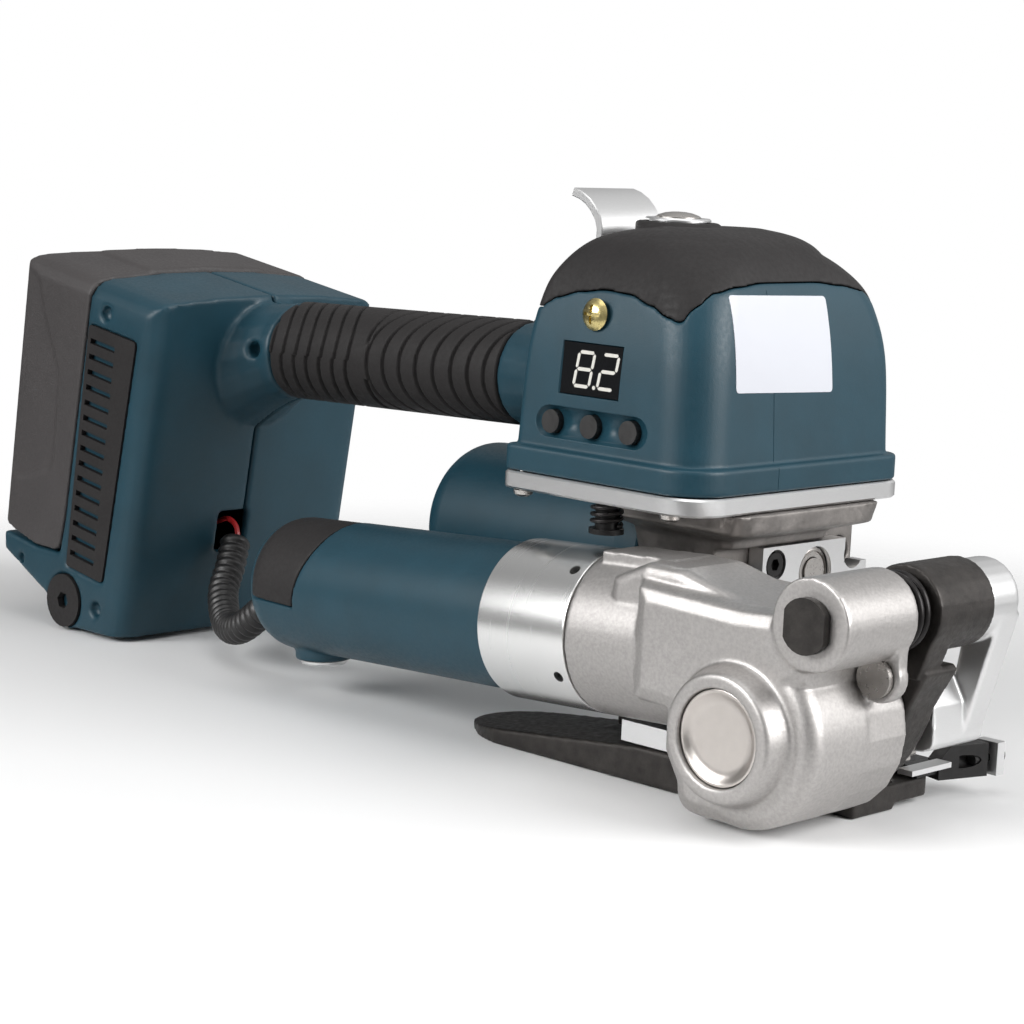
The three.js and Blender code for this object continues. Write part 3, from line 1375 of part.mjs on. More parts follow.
// A strip of even thickness along a side-view path
function strip(points, thick, steps) {
  const path = new THREE.CatmullRomCurve3(
    points.map(([x, z]) => new THREE.Vector3(x, z, 0)), false, 'centripetal',
  );
  const front = [];
  const back = [];
  for (let i = 0; i <= steps; i += 1) {
    const p = path.getPointAt(i / steps);
    const t = path.getTangentAt(i / steps);
    front.push([p.x + t.y * thick / 2, p.y - t.x * thick / 2]);
    back.unshift([p.x - t.y * thick / 2, p.y + t.x * thick / 2]);
  }
  return outline([...front, ...back]);
}

function weldLever() {
  const half = leverWidth / 2;
  const [x, z] = leverPivot;
  const side = strip(leverPath.map(([dx, dz]) => [x + dx, z + dz]), leverThick, 14);
  const blade = prism('y', side, -half, half, { bevel: fit, bevelSteps: 1 });
  const barrel = rod('y', leverBarrel, -half, half, leverPivot, 24);
  return cut(
    join(blade, barrel), rod('y', leverPinRadius + fit, -half - overrun, half + overrun, leverPivot, 20),
  );
}

// Handle: axis falls towards the battery
const gripBack = handleFront + gripLength;
const axisAt = (back) => gripLevel - (back - handleFront) * Math.tan(handleTilt);

function handleRing(x, y0, z, halfY, halfZ, count = 20) {
  return Array.from({ length: count }, (_, i) => {
    const angle = (i / count) * 2 * Math.PI;
    return new THREE.Vector3(x, y0 + halfY * Math.cos(angle), z + halfZ * Math.sin(angle));
  });
}

function roundBar(from, to, radius, count = 20) {
  return loft([from, to].map((back) => handleRing(-back, 0, axisAt(back), radius, radius, count)));
}

function inPackFrame(geometry) {
  geometry.rotateY(packLean);
  geometry.translate(-caseFront, 0, 0);
  return geometry;
}

// Cross-wise arch that crowns the battery end, with rounded shoulders
function arch(low, inset) {
  const side = caseHalfWidth - inset;
  const level = caseHeight - inset;
  const shoulder = side - archRound;
  const rise = packCrown * 0.3;
  const shape = new THREE.Shape();
  shape.moveTo(-side, low);
  shape.lineTo(side, low);
  shape.lineTo(side, level - archRound);
  shape.quadraticCurveTo(side, level, shoulder, level + rise);
  shape.quadraticCurveTo(0, level + 2 * packCrown - rise, -shoulder, level + rise);
  shape.quadraticCurveTo(-side, level, -side, level - archRound);
  shape.closePath();
  return shape;
}

function caseForm(inset) {
  const halfY = caseHalfWidth - inset;
  const round = caseCorner - inset;
  const low = -2 * caseCorner;
  const plan = outline([
    [-inset, -halfY, round], [-inset, halfY, round], [-caseDepth + inset, halfY],
    [-caseDepth + inset, -halfY],
  ]);
  const side = outline(caseSide.map(([u, w, du = 0, dw = 0]) => [-u - du * inset, w + dw * inset]));
  const upright = prism('z', plan, low, caseHeight + 2 * packCrown + overrun);
  const across = prism('y', side, -caseHalfWidth - overrun, caseHalfWidth + overrun);
  return overlap(
    overlap(upright, across), prism('x', arch(low, inset), -caseDepth - overrun, overrun, { curve: 4 }),
  );
}

function placed(form) {
  return inPackFrame(toGeometry(form));
}

function padOutline(grow) {
  return outline(padCorners.map(([u, w, su, sw]) => [-u - su * grow, w + sw * grow, padRound]));
}

function housingBody() {
  const outer = caseForm(0);
  const inner = caseForm(caseWall);
  const discCentre = [-discAt[0], discAt[1]];
  const bump = rod('y', discBump, -caseHalfWidth, caseHalfWidth, discCentre, 24);
  const cableHole = block([-2 * caseWall, overrun], cableHoleY, cableHoleW);
  const sides = [-1, 1].flatMap((s) => {
    const face = s * caseHalfWidth;
    const span = (depth) => [face + s * overrun, face - s * depth].sort((a, b) => a - b);
    return [
      prism('y', padOutline(fit), ...span(padThick + padSink + fit)),
      rod('y', capDiscRadius + fit, ...span(discThick + fit), discCentre, 28),
      ...caseHoles.map(([u, w, r]) => rod('y', r, ...span(caseWall - fit), [-u, w], 12)),
    ];
  });
  const frontAt = (z) => caseFront - z * Math.tan(packLean);
  const flareShares = [0, 0.2, 0.5, 0.8, 1];
  const foot = frontAt(flareLevel - flareRadius) + caseWall / 2;
  const flare = loft(flareShares.map((share) => {
    const back = foot + (gripBack + fit - foot) * share;
    const radius = flareRadius + (gripRadius - flareRadius) * Math.sin(share * 90 * deg);
    return handleRing(-back, 0, flareLevel + (axisAt(gripBack) - flareLevel) * share, radius, radius);
  }));
  const core = roundBar(foot, handleFront - fit, gripRadius - gripWall - fit);
  const rootShares = [0, 0.3, 0.7, 1];
  const rootEnd = headRear - shellInset + 3 * fit;
  const root = loft(rootShares.map((share) => {
    const back = handleFront - fit + (rootEnd - handleFront + fit) * share;
    return handleRing(-back, 0, gripLevel + (rootLevel - gripLevel) * share,
      gripRadius + (rootHalfY - gripRadius) * share, gripRadius + (rootHalfZ - gripRadius) * share);
  }));
  const lugs = [-1, 1].map((s) => {
    const span = [s * (leverWidth / 2 + fit), s * (leverWidth / 2 + fit + lugThick)].sort((a, b) => a - b);
    const [x, z] = leverPivot;
    return join(
      rod('y', leverBarrel, ...span, leverPivot),
      block([x - leverBarrel, -rootEnd], span, [rootLevel, z]),
    );
  });
  const leverRoom = rod('y', leverBarrel + fit * 2, -leverWidth / 2 - fit, leverWidth / 2 + fit, leverPivot);
  const pinBore = rod('y', leverPinRadius + fit / 2, -headHalfY, headHalfY, leverPivot, 16);
  const tunnel = roundBar(foot + caseWall + overrun, rootEnd - overrun, gripRadius - 2 * gripWall - fit, 16);
  const bores = [-1, 1].map((s) => {
    const span = [s * gripRadius * 0.7, s * 2 * gripRadius].sort((a, b) => a - b);
    return rod('y', caseHoles[0][2], ...span, [-gripBack - flareHole, axisAt(gripBack)], 12);
  });
  const box = placed(join(outer, bump));
  const hollow = [inner, cableHole, ...sides].map(placed);
  return cut(join(box, flare, core, root, ...lugs), ...hollow, leverRoom, pinBore, tunnel, ...bores);
}

function half(form, side) {
  const far = 2 * headHalfY;
  const away = side < 0 ? [-fit / 2, far] : [-far, fit / 2];
  return cut(form, block([-2 * caseFront, 0], away, [-far, 2 * far]));
}

function handleGrip() {
  const rings = [];
  const pitch = gripLength / (grooveCount + 1);
  const ring = (back, radius) => handleRing(-back, 0, axisAt(back), radius, radius, 18);
  rings.push(ring(handleFront, gripRadius - grooveDepth / 2));
  rings.push(ring(handleFront + grooveDepth / 2, gripRadius));
  for (let i = 1; i <= grooveCount; i += 1) {
    const mid = handleFront + i * pitch;
    rings.push(
      ring(mid - grooveDepth, gripRadius), ring(mid, gripRadius - grooveDepth),
      ring(mid + grooveDepth, gripRadius),
    );
  }
  rings.push(ring(gripBack - fit, gripRadius));
  return cut(loft(rings), roundBar(handleFront - overrun, gripBack + overrun, gripRadius - gripWall));
}

function grillePad(side) {
  const faces = [caseHalfWidth - padSink, caseHalfWidth - padSink - padThick];
  const [from, to] = faces.map((y) => side * y).sort((a, b) => a - b);
  const plate = prism('y', padOutline(0), from, to);
  const [, [topRear, top], [footRear, foot]] = padCorners;
  const pitch = (top - foot - 2 * slotMargin) / (slotCount - 1);
  const slots = Array.from({ length: slotCount }, (_, i) => {
    const w = foot + slotMargin + i * pitch;
    const rear = footRear + (topRear - footRear) * (w - foot) / (top - foot) - slotRim;
    return block(
      [-rear, -rear + slotLength], [from - overrun, to + overrun], [w - slotWidth / 2, w + slotWidth / 2],
    );
  });
  return placed(cut(plate, ...slots));
}

function cornerDisc(side) {
  const faces = [caseHalfWidth + fit, caseHalfWidth - discThick];
  const [from, to] = faces.map((y) => side * y).sort((a, b) => a - b);
  return placed(cut(
    rod('y', capDiscRadius, from, to, [-discAt[0], discAt[1]], 28),
    prism('y', hexagon(-discAt[0], discAt[1], capDiscRadius / 3), from - overrun, to + overrun),
  ));
}

// The pack's plan is drawn at its foot and slides back with height, as its rear face leans
function batteryPack() {
  const side = outline(packSide.map(([u, w, radius = 0]) => [-u, w, radius]));
  const plan = outline([
    [-packSplit / 2, -caseHalfWidth], [-packSplit / 2, caseHalfWidth],
    [-packRear, caseHalfWidth, packRound], [-packRear, -caseHalfWidth, packRound],
  ]);
  const upright = prism('z', plan, 0, caseHeight + 3 * packCrown);
  upright.applyMatrix4(new THREE.Matrix4().set(
    1, 0, -packSpread, packSpread * packBottom, 0, 1, 0, 0, 0, 0, 1, 0, 0, 0, 0, 1));
  const across = prism('y', side, -caseHalfWidth - overrun, caseHalfWidth + overrun);
  const crown = prism('x', arch(-overrun, -packLift), -2 * caseDepth, 0, { curve: 4 });
  return placed(overlap(overlap(upright, across), crown));
}

// Ribbed sheath of the lead
function ringsAlong(curve, count, radiusAt, sides) {
  const frames = curve.computeFrenetFrames(count, false);
  return Array.from({ length: count + 1 }, (_, i) => {
    const centre = curve.getPointAt(i / count);
    const radius = radiusAt(i);
    return Array.from({ length: sides }, (__, k) => {
      const angle = (k / sides) * 2 * Math.PI;
      return centre.clone()
        .addScaledVector(frames.normals[i], radius * Math.cos(angle))
        .addScaledVector(frames.binormals[i], radius * Math.sin(angle));
    });
  });
}

function leadCurve(points) {
  return new THREE.CatmullRomCurve3(points.map((p) => new THREE.Vector3(...p)), false, 'centripetal');
}

function leadGap(curve) {
  const points = curve.getSpacedPoints(leadRibs * 4);
  const apart = Math.ceil(4 * leadRadius / (curve.getLength() / points.length));
  let least = Infinity;
  points.forEach((p, i) => points.slice(i + apart).forEach((q) => {
    least = Math.min(least, p.distanceTo(q) - 2 * leadRadius);
  }));
  return least;
}

function leadSheath(curve) {
  const steps = leadRibs * 2;
  console.log('lead, least gap to itself', leadGap(curve).toFixed(2));
  const outer = ringsAlong(curve, steps, (i) => leadRadius - (i % 2 === 0 ? leadRibDepth : 0), leadSides);
  const bore = ringsAlong(curve, steps, () => leadBore, leadSides);
  const inner = bore.filter((_, i) => i % leadBoreStep === 0 || i === steps).reverse();
  const rings = [...outer, ...inner];
  const index = [];
  rings.forEach((_, level) => {
    const low = level * leadSides;
    const high = ((level + 1) % rings.length) * leadSides;
    for (let i = 0; i < leadSides; i += 1) {
      const j = (i + 1) % leadSides;
      index.push(low + i, low + j, high + j, low + i, high + j, high + i);
    }
  });
  const geometry = new THREE.BufferGeometry().setFromPoints(rings.flat());
  geometry.setIndex(index);
  return clean(geometry);
}

// Strap guides ahead of the wheel
const guideEnd = guideLine[1];
const guideMid = guideLow + guideHeight / 2;
const plateRight = guideEnd[1] + bracketGap;
const plateLeft = plateRight + bracketThick;
const guideBore = rod(
  'y', guideShank + fit, guideEnd[1] - 2 * guideThick, plateLeft + overrun, [guideEnd[0], guideMid], 12,
);

function guideBlock() {
  const [a, b] = guideLine;
  const turn = Math.atan2(b[1] - a[1], b[0] - a[0]) - Math.PI / 2;
  const length = Math.hypot(b[0] - a[0], b[1] - a[1]);
  const bar = prism('x', outline([
    [0, 0], [length, 0], [length, guideHeight], [guideHeight * 0.4, guideHeight], [0, guideHeight * 0.55],
  ]), -guideThick / 2, guideThick / 2);
  bar.rotateZ(turn);
  bar.translate(a[0], a[1], guideLow);
  const footLow = baseThick + fit;
  const foot = block([a[0] - footLength, a[0] + guideThick / 3], footY, [footLow, footLow + footThick]);
  return cut(join(bar, foot), guideBore);
}

function guideScrew() {
  const seat = plateLeft + fit;
  return join(
    rod('y', guideScrewRadius, seat, seat + guideScrewHead, [guideEnd[0], guideMid], 20),
    rod('y', guideShank, guideEnd[1] - guideThick, seat + guideScrewHead / 2, [guideEnd[0], guideMid], 12),
  );
}

add('base_plate', basePlate(), 'darkSteel');
add('gripper_plate', gripperPlate(), 'steel');
add('rest_block', restBlock(), 'bright');

const housing = gearHousing();
const wheelAxis = [0, wheelHeight];
add('gear_housing', housing.geometry, 'casting');
add('stop_pin', join(
  rod('y', stopPinRadius, housing.pinStart - stopPinProud - fit, housing.pinStart - fit, housing.pin, 24),
  rod('y', stopPinShank, housing.pinStart - 2 * fit, hubEnd - stopPinFace / 4 - fit, housing.pin, 16),
), 'steel');
add('dish_cap', dishCap(), 'bright');

const shaftStart = housingFace - bossHeight + dishSink + dishPlugDepth + 2 * fit;
add(
  'wheel_shaft', rod('y', wheelShaftRadius, shaftStart, laneLeft + shaftNutThick + 2 * fit, wheelAxis),
  'steel',
);
add('tension_wheel', toothedDisc(wheelRadius, wheelToothDepth, wheelTeeth, laneRight, laneLeft,
  wheelShaftRadius + fit, wheelAxis), 'steel');
const wormDrop = Math.cos(motorTilt) * (motorSeatHeight - wheelHeight) + Math.sin(motorTilt) * motorSeatBack;
const wormWheelRadius = wormDrop - wormRadius - 2 * fit;
add('worm_wheel', toothedDisc(wormWheelRadius, wormRadius / 4, wormTeeth, -motorAxisSide - wormRadius,
  -motorAxisSide + wormRadius, wheelShaftRadius + fit, wheelAxis), 'brass');
add('shaft_nut', cut(
  prism('y', hexagon(...wheelAxis, shaftNutRadius), laneLeft + fit, laneLeft + fit + shaftNutThick),
  rod('y', wheelShaftRadius + fit, laneLeft, laneLeft + 2 * shaftNutThick, wheelAxis),
), 'darkSteel');
add('side_cover', cut(
  rod(
    'y', cavityRadius + sideCoverLip - fit, housingLeftFace - sideCoverThick, housingLeftFace, wheelAxis, 24,
  ),
  rod(
    'y', wheelShaftRadius + fit, housingLeftFace - 2 * sideCoverThick, housingLeftFace + overrun, wheelAxis,
  ),
), 'casting');

const tension = new THREE.Group();
tension.position.set(tensionFrame.x, tensionFrame.y, tensionFrame.z);
tension.rotation.y = tensionFrame.tilt;
group.add(tension);
add('tension_ring', tensionRing(), 'bright', tension);
add('tension_motor_cover', tensionCover(), 'blue', tension);
add('cover_inlay', coverInlay(), 'rubber', tension);
add(
  'tension_motor', rod('x', motorRadius, motorNose - motorLength, motorNose, [0, 0], 24), 'darkSteel',
  tension,
);
add('cover_foot', coverFoot(), 'bright', tension);

add('pivot_shaft', pivotShaft(), 'darkSteel');
add('pivot_spring', torsionSpring(), 'black');
add('pivot_bracket', pivotBracket(), 'darkSteel');
add('weld_arm', weldArm(), 'bright');

add('main_frame', mainFrame(), 'roughCasting');
add('face_plate', facePlate(), 'bright');
faceScrews().forEach((at, i) => add(
  `face_screw_${i + 1}`, socketScrew(at, weldFaceBack + faceScrewDepth, faceScrewRadius, faceScrewHeight),
  'black'));
add('weld_jaw', weldJaw(), 'darkSteel');

const weld = new THREE.Group();
weld.position.set(weldFrame.x, weldFrame.y, weldFrame.z);
weld.rotation.y = weldFrame.tilt;
group.add(weld);
add('eccentric_shaft', eccentricShaft(), 'steel', weld);
add('weld_bearing', weldBearing(), 'steel', weld);
const weldMotorFront = weldMotorNose - weldCastLength;
const weldMotorRear = weldMotorFront - weldCoverLength + 5 * weldCoverWall;
add('weld_motor', rod('x', weldMotorRadius, weldMotorRear, weldMotorFront, [0, 0], 24), 'darkSteel', weld);
add('weld_motor_cover', cut(
  inMotorFrame(weldCover(), weldFrame),
  block([-headRear - 2 * fit, -headFront], [-headRight, headLeft], [headLevel - fit, headPlateTop + fit]),
), 'blue');

add('head_plate', headPlate(), 'bright');
plateScrews.forEach((at, i) => add(`head_plate_screw_${i + 1}`, plateScrew(at), 'steel'));
add('switch_plunger', switchPlunger(), 'black');
add('plunger_spring', plungerSpring(), 'black');

const domeForm = dome();
add('head_shell', headShell(domeForm), 'blue');
add('head_cap', headCap(domeForm), 'rubber');
add('button_bezel', buttonBezel(), 'bright');
add('push_button', pushButton(), 'steel');

const windowX = [-windowWidth / 2, windowWidth / 2];
const windowZ = [-windowHeight / 2, windowHeight / 2];
const moduleFront = windowDepth - windowProud + 2 * fit;
add(
  'display_window', onDisplay(block(windowX, [-windowProud, windowDepth - windowProud], windowZ), 0),
  'glass',
);
add(
  'display_module', onDisplay(block(windowX, [moduleFront, moduleFront + moduleDepth], windowZ), 0),
  'black',
);
add('display_screw', displayScrew(), 'brass');
[-1, 0, 1].forEach((i) => add(`key_${i + 2}`, onDisplay(
  rod('y', keyRadius, -keyProud, keyLength, [keyShift + i * keyPitch, 0]), keyDrop), 'black'));

add('weld_lever', weldLever(), 'bright');
add(
  'lever_pin',
  rod('y', leverPinRadius, -leverWidth / 2 - lugThick, leverWidth / 2 + lugThick, leverPivot, 16),
  'steel',
);

const body = housingBody();
add('housing_right', half(body, -1), 'blue');
add('housing_left', half(body, 1), 'blue');
add('handle_grip', handleGrip(), 'rubber');
add('grille_pad_right', grillePad(-1), 'rubber');
add('grille_pad_left', grillePad(1), 'rubber');
add('corner_disc_right', cornerDisc(-1), 'rubber');
add('corner_disc_left', cornerDisc(1), 'rubber');
add('battery_pack', batteryPack(), 'rubber');

add('lead_wrap', leadSheath(leadCurve(leadPoints)), 'black');
const wirePath = leadCurve(wirePoints.map((step) => step.map((d, i) => leadPoints[0][i] + d)));
add('lead_wire', sweep(wirePath, wireRadius, 10, 6), 'red');

add('strap_guide_block', guideBlock(), 'black');
add('guide_bracket', cut(block(
  bracketX.map((d) => guideEnd[0] + d), [plateRight, plateLeft],
  [guideLow, guideLow + guideHeight]), guideBore), 'bright');
add('guide_screw', guideScrew(), 'black');
const bladeLow = baseThick + 2 * fit + footThick;
add('guide_blade', block(bladeX, bladeY, [bladeLow, bladeLow + bladeThick]), 'bright');

export default group;
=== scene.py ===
"""Battery strapping tool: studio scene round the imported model, in metres, +X to the tool's front and +Z up."""

import json
import math

import bmesh
import bpy
from mathutils import Matrix, Vector


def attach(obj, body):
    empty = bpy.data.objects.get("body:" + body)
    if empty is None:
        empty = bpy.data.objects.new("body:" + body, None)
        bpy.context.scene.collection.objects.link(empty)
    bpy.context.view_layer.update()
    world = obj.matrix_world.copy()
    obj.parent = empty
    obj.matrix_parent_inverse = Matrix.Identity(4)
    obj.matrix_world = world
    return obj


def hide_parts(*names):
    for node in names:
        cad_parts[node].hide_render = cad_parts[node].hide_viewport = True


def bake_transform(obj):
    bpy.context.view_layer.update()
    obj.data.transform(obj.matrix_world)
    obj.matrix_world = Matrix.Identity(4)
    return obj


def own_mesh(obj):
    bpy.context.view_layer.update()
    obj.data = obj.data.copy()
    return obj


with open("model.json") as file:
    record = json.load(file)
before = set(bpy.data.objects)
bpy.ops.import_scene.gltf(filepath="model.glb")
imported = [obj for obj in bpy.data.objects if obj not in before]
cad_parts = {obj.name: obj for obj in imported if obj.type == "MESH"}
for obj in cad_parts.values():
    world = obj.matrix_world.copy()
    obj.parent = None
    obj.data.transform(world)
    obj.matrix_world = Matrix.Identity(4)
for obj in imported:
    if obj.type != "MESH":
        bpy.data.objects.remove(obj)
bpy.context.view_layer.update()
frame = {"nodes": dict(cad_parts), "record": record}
MM = 0.001
DEG = math.pi / 180
NODES = frame["nodes"]
BODY_OF = {n: b for b, names in frame["record"]["behaviour"]["bodies"].items() for n in names}
SLOT_OF = {s["node"]: s["material_slot"] for s in frame["record"]["subparts"]}

# Camera of the photograph, in the part's millimetres
CAMERA_AT = (396.5, -550.0, 172.7)
CAMERA_RIGHT = (0.7109, 0.7018, 0.0445)
CAMERA_UP = (-0.1356, 0.0747, 0.988)
CAMERA_LENS = 91.4


def add_camera():
    data = bpy.data.cameras.new("camera")
    data.lens = CAMERA_LENS
    data.sensor_width = 36
    data.clip_start, data.clip_end = 0.01, 50
    camera = bpy.data.objects.new("camera", data)
    right = Vector(CAMERA_RIGHT).normalized()
    up = Vector(CAMERA_UP)
    up = (up - right * up.dot(right)).normalized()
    back = right.cross(up)
    camera.matrix_world = Matrix.Translation(Vector(CAMERA_AT) * MM) @ Matrix((right, up, back)).transposed().to_4x4()
    bpy.context.scene.collection.objects.link(camera)
    bpy.context.scene.camera = camera


add_camera()

# Lead between the tension motor's cover and the battery end: the route's points, in millimetres
LEAD_POINTS = [
    (-258.4, -7.5, 32.4), (-255, -12, 25.6), (-249.4, -19.5, 17.6), (-234.75, -29.25, 10.5),
    (-219.75, -36, 12.75), (-205, -38.2, 22), (-196.5, -38, 27.8), (-189.3, -38, 28.7),
]
LEAD_RADIUS = 5.05
LEAD_RIB_DEPTH = 0.75
LEAD_RIBS = 30
LEAD_BORE = 2.6


def spline(points, steps):
    """Centripetal curve through the points, as evenly spaced points."""
    pts = [Vector(p) for p in points]
    ends = [pts[0] * 2 - pts[1], *pts, pts[-1] * 2 - pts[-2]]
    dense = []
    for p0, p1, p2, p3 in zip(ends, ends[1:], ends[2:], ends[3:]):
        t = [0.0]
        for a, b in ((p0, p1), (p1, p2), (p2, p3)):
            t.append(t[-1] + (b - a).length ** 0.5)
        for i in range(24):
            u = t[1] + (t[2] - t[1]) * i / 24

            def mix(a, b, ta, tb):
                return a * ((tb - u) / (tb - ta)) + b * ((u - ta) / (tb - ta))

            a1, a2, a3 = mix(p0, p1, t[0], t[1]), mix(p1, p2, t[1], t[2]), mix(p2, p3, t[2], t[3])
            dense.append(mix(mix(a1, a2, t[0], t[2]), mix(a2, a3, t[1], t[3]), t[1], t[2]))
    dense.append(pts[-1])
    lengths = [0.0]
    for a, b in zip(dense, dense[1:]):
        lengths.append(lengths[-1] + (b - a).length)
    even, k = [], 0
    for i in range(steps + 1):
        want = lengths[-1] * i / steps
        while k < len(dense) - 2 and lengths[k + 1] < want:
            k += 1
        share = (want - lengths[k]) / max(lengths[k + 1] - lengths[k], 1e-9)
        even.append(dense[k].lerp(dense[k + 1], min(share, 1)))
    return even, lengths[-1]


def srgb(r, g, b):
    return tuple((c / 255 / 12.92 if c <= 10 else ((c / 255 + 0.055) / 1.055) ** 2.4) for c in (r, g, b)) + (1,)


def scaled(colour, factor):
    return tuple(min(c * factor, 1) for c in colour[:3]) + (1,)


class Finish:
    """Procedural material: colour, gloss and relief from noise in the part's own coordinates."""

    def __init__(self, name, colour, roughness, metallic=0.0):
        self.material = bpy.data.materials.new(name)
        self.material.use_nodes = True
        self.tree = self.material.node_tree
        self.shader = self.tree.nodes["Principled BSDF"]
        self.shader.inputs["Metallic"].default_value = metallic
        self.shader.inputs["Roughness"].default_value = roughness
        self.shader.inputs["Base Color"].default_value = colour
        self.colour = colour
        self.place = self.node("ShaderNodeTexCoord").outputs["Object"]
        self.height = None
        self.material.diffuse_color = colour

    def node(self, kind, **values):
        made = self.tree.nodes.new(kind)
        for key, value in values.items():
            setattr(made, key, value)
        return made

    def link(self, out, into):
        self.tree.links.new(out, into)

    def noise(self, scale, detail=3, rough=0.55, stretch=(1, 1, 1), turn=0.0):
        source = self.place
        if stretch != (1, 1, 1) or turn:
            mapping = self.node("ShaderNodeMapping")
            mapping.inputs["Rotation"].default_value = (0, turn, 0)
            mapping.inputs["Scale"].default_value = stretch
            self.link(source, mapping.inputs["Vector"])
            source = mapping.outputs["Vector"]
        noise = self.node("ShaderNodeTexNoise")
        noise.inputs["Scale"].default_value = scale
        noise.inputs["Detail"].default_value = detail
        noise.inputs["Roughness"].default_value = rough
        self.link(source, noise.inputs["Vector"])
        return noise.outputs["Fac"]

    def ramp(self, source, stops):
        ramp = self.node("ShaderNodeValToRGB")
        marks = ramp.color_ramp.elements
        while len(marks) < len(stops):
            marks.new(0.5)
        for mark, (place, colour) in zip(marks, stops):
            mark.position, mark.color = place, colour
        self.link(source, ramp.inputs["Fac"])
        return ramp.outputs["Color"]

    def vary(self, scale, low, high, **options):
        """Colour that drifts between two brightnesses of itself."""
        stops = [(0.3, scaled(self.colour, low)), (0.7, scaled(self.colour, high))]
        self.link(self.ramp(self.noise(scale, **options), stops), self.shader.inputs["Base Color"])
        return self

    def gloss(self, scale, low, high, **options):
        span = self.node("ShaderNodeMapRange")
        span.inputs["From Min"].default_value, span.inputs["From Max"].default_value = 0.3, 0.7
        span.inputs["To Min"].default_value, span.inputs["To Max"].default_value = low, high
        self.link(self.noise(scale, **options), span.inputs["Value"])
        self.link(span.outputs["Result"], self.shader.inputs["Roughness"])
        return self

    def relief(self, scale, depth, strength=1.0, **options):
        """Fine relief, depth in metres; several layers add up."""
        bump = self.node("ShaderNodeBump")
        bump.inputs["Strength"].default_value = strength
        bump.inputs["Distance"].default_value = depth
        self.link(self.noise(scale, **options), bump.inputs["Height"])
        if self.height is not None:
            self.link(self.height, bump.inputs["Normal"])
        self.height = bump.outputs["Normal"]
        self.link(self.height, self.shader.inputs["Normal"])
        return self

    def set(self, **values):
        for key, value in values.items():
            self.shader.inputs[key.replace("_", " ")].default_value = value
        return self


BLUE = srgb(22, 58, 71)
RUBBER = srgb(36, 34, 34)
TILT = 3 * DEG

finishes = {
    "blue_plastic": Finish("blue_plastic", BLUE, 0.5).vary(60, 0.9, 1.1).gloss(900, 0.38, 0.5)
    .relief(2600, 0.00008, 0.35, detail=2).set(Specular_IOR_Level=0.4),
    "grip_rubber": Finish("grip_rubber", RUBBER, 0.7).vary(90, 0.88, 1.1).gloss(700, 0.55, 0.72)
    .relief(2200, 0.0001, 0.5, detail=3).set(Specular_IOR_Level=0.28),
    "pack_plastic": Finish("pack_plastic", srgb(60, 57, 57), 0.6).vary(50, 0.9, 1.08).gloss(900, 0.5, 0.66)
    .relief(1800, 0.00012, 0.6, detail=3),
    "black_plastic": Finish("black_plastic", srgb(26, 25, 25), 0.45).vary(120, 0.85, 1.25).gloss(500, 0.36, 0.52)
    .relief(1500, 0.00006, 0.4),
    "casting": Finish("casting", srgb(172, 169, 167), 0.46, 0.92).vary(1100, 0.9, 1.08, detail=2)
    .gloss(1500, 0.4, 0.52, detail=2).relief(1900, 0.00007, 0.45, detail=3),
    "rough_casting": Finish("rough_casting", srgb(128, 124, 121), 0.5, 0.85).vary(140, 0.8, 1.15).gloss(500, 0.38, 0.6)
    .relief(900, 0.00012, 0.5, detail=4).relief(160, 0.00015, 0.3, detail=2, stretch=(1, 1, 4)),
    "bright_metal": Finish("bright_metal", srgb(224, 224, 224), 0.34, 1.0).vary(700, 0.97, 1.02, stretch=(1, 1, 14))
    .gloss(900, 0.31, 0.37, stretch=(1, 1, 14)).relief(1400, 0.000003, 0.3, detail=2, stretch=(1, 1, 14)),
    "dark_steel": Finish("dark_steel", srgb(52, 49, 47), 0.5, 0.6).vary(260, 0.7, 1.3).gloss(600, 0.4, 0.6)
    .relief(1400, 0.00012, 0.5, detail=4),
    "black_steel": Finish("black_steel", srgb(28, 27, 27), 0.4, 0.5).vary(300, 0.8, 1.3).gloss(800, 0.3, 0.48)
    .relief(1600, 0.00006, 0.4),
    "spring_steel": Finish("spring_steel", srgb(36, 34, 34), 0.32, 0.7).vary(300, 0.8, 1.3).gloss(600, 0.26, 0.42)
    .relief(1200, 0.00004, 0.3),
    "steel": Finish("steel", srgb(188, 184, 180), 0.28, 1.0).vary(700, 0.97, 1.02).gloss(900, 0.26, 0.32)
    .relief(1500, 0.000003, 0.3),
    "brass": Finish("brass", srgb(206, 190, 132), 0.26, 1.0).vary(400, 0.85, 1.1).gloss(600, 0.2, 0.38)
    .relief(1200, 0.00004, 0.4),
    "display_glass": Finish("display_glass", srgb(16, 17, 19), 0.08).vary(80, 0.9, 1.1).gloss(60, 0.05, 0.1)
    .relief(30, 0.00002, 0.1),
    "red_wire": Finish("red_wire", srgb(172, 34, 36), 0.38).vary(200, 0.9, 1.1).gloss(400, 0.32, 0.45)
    .relief(900, 0.00004, 0.3),
}


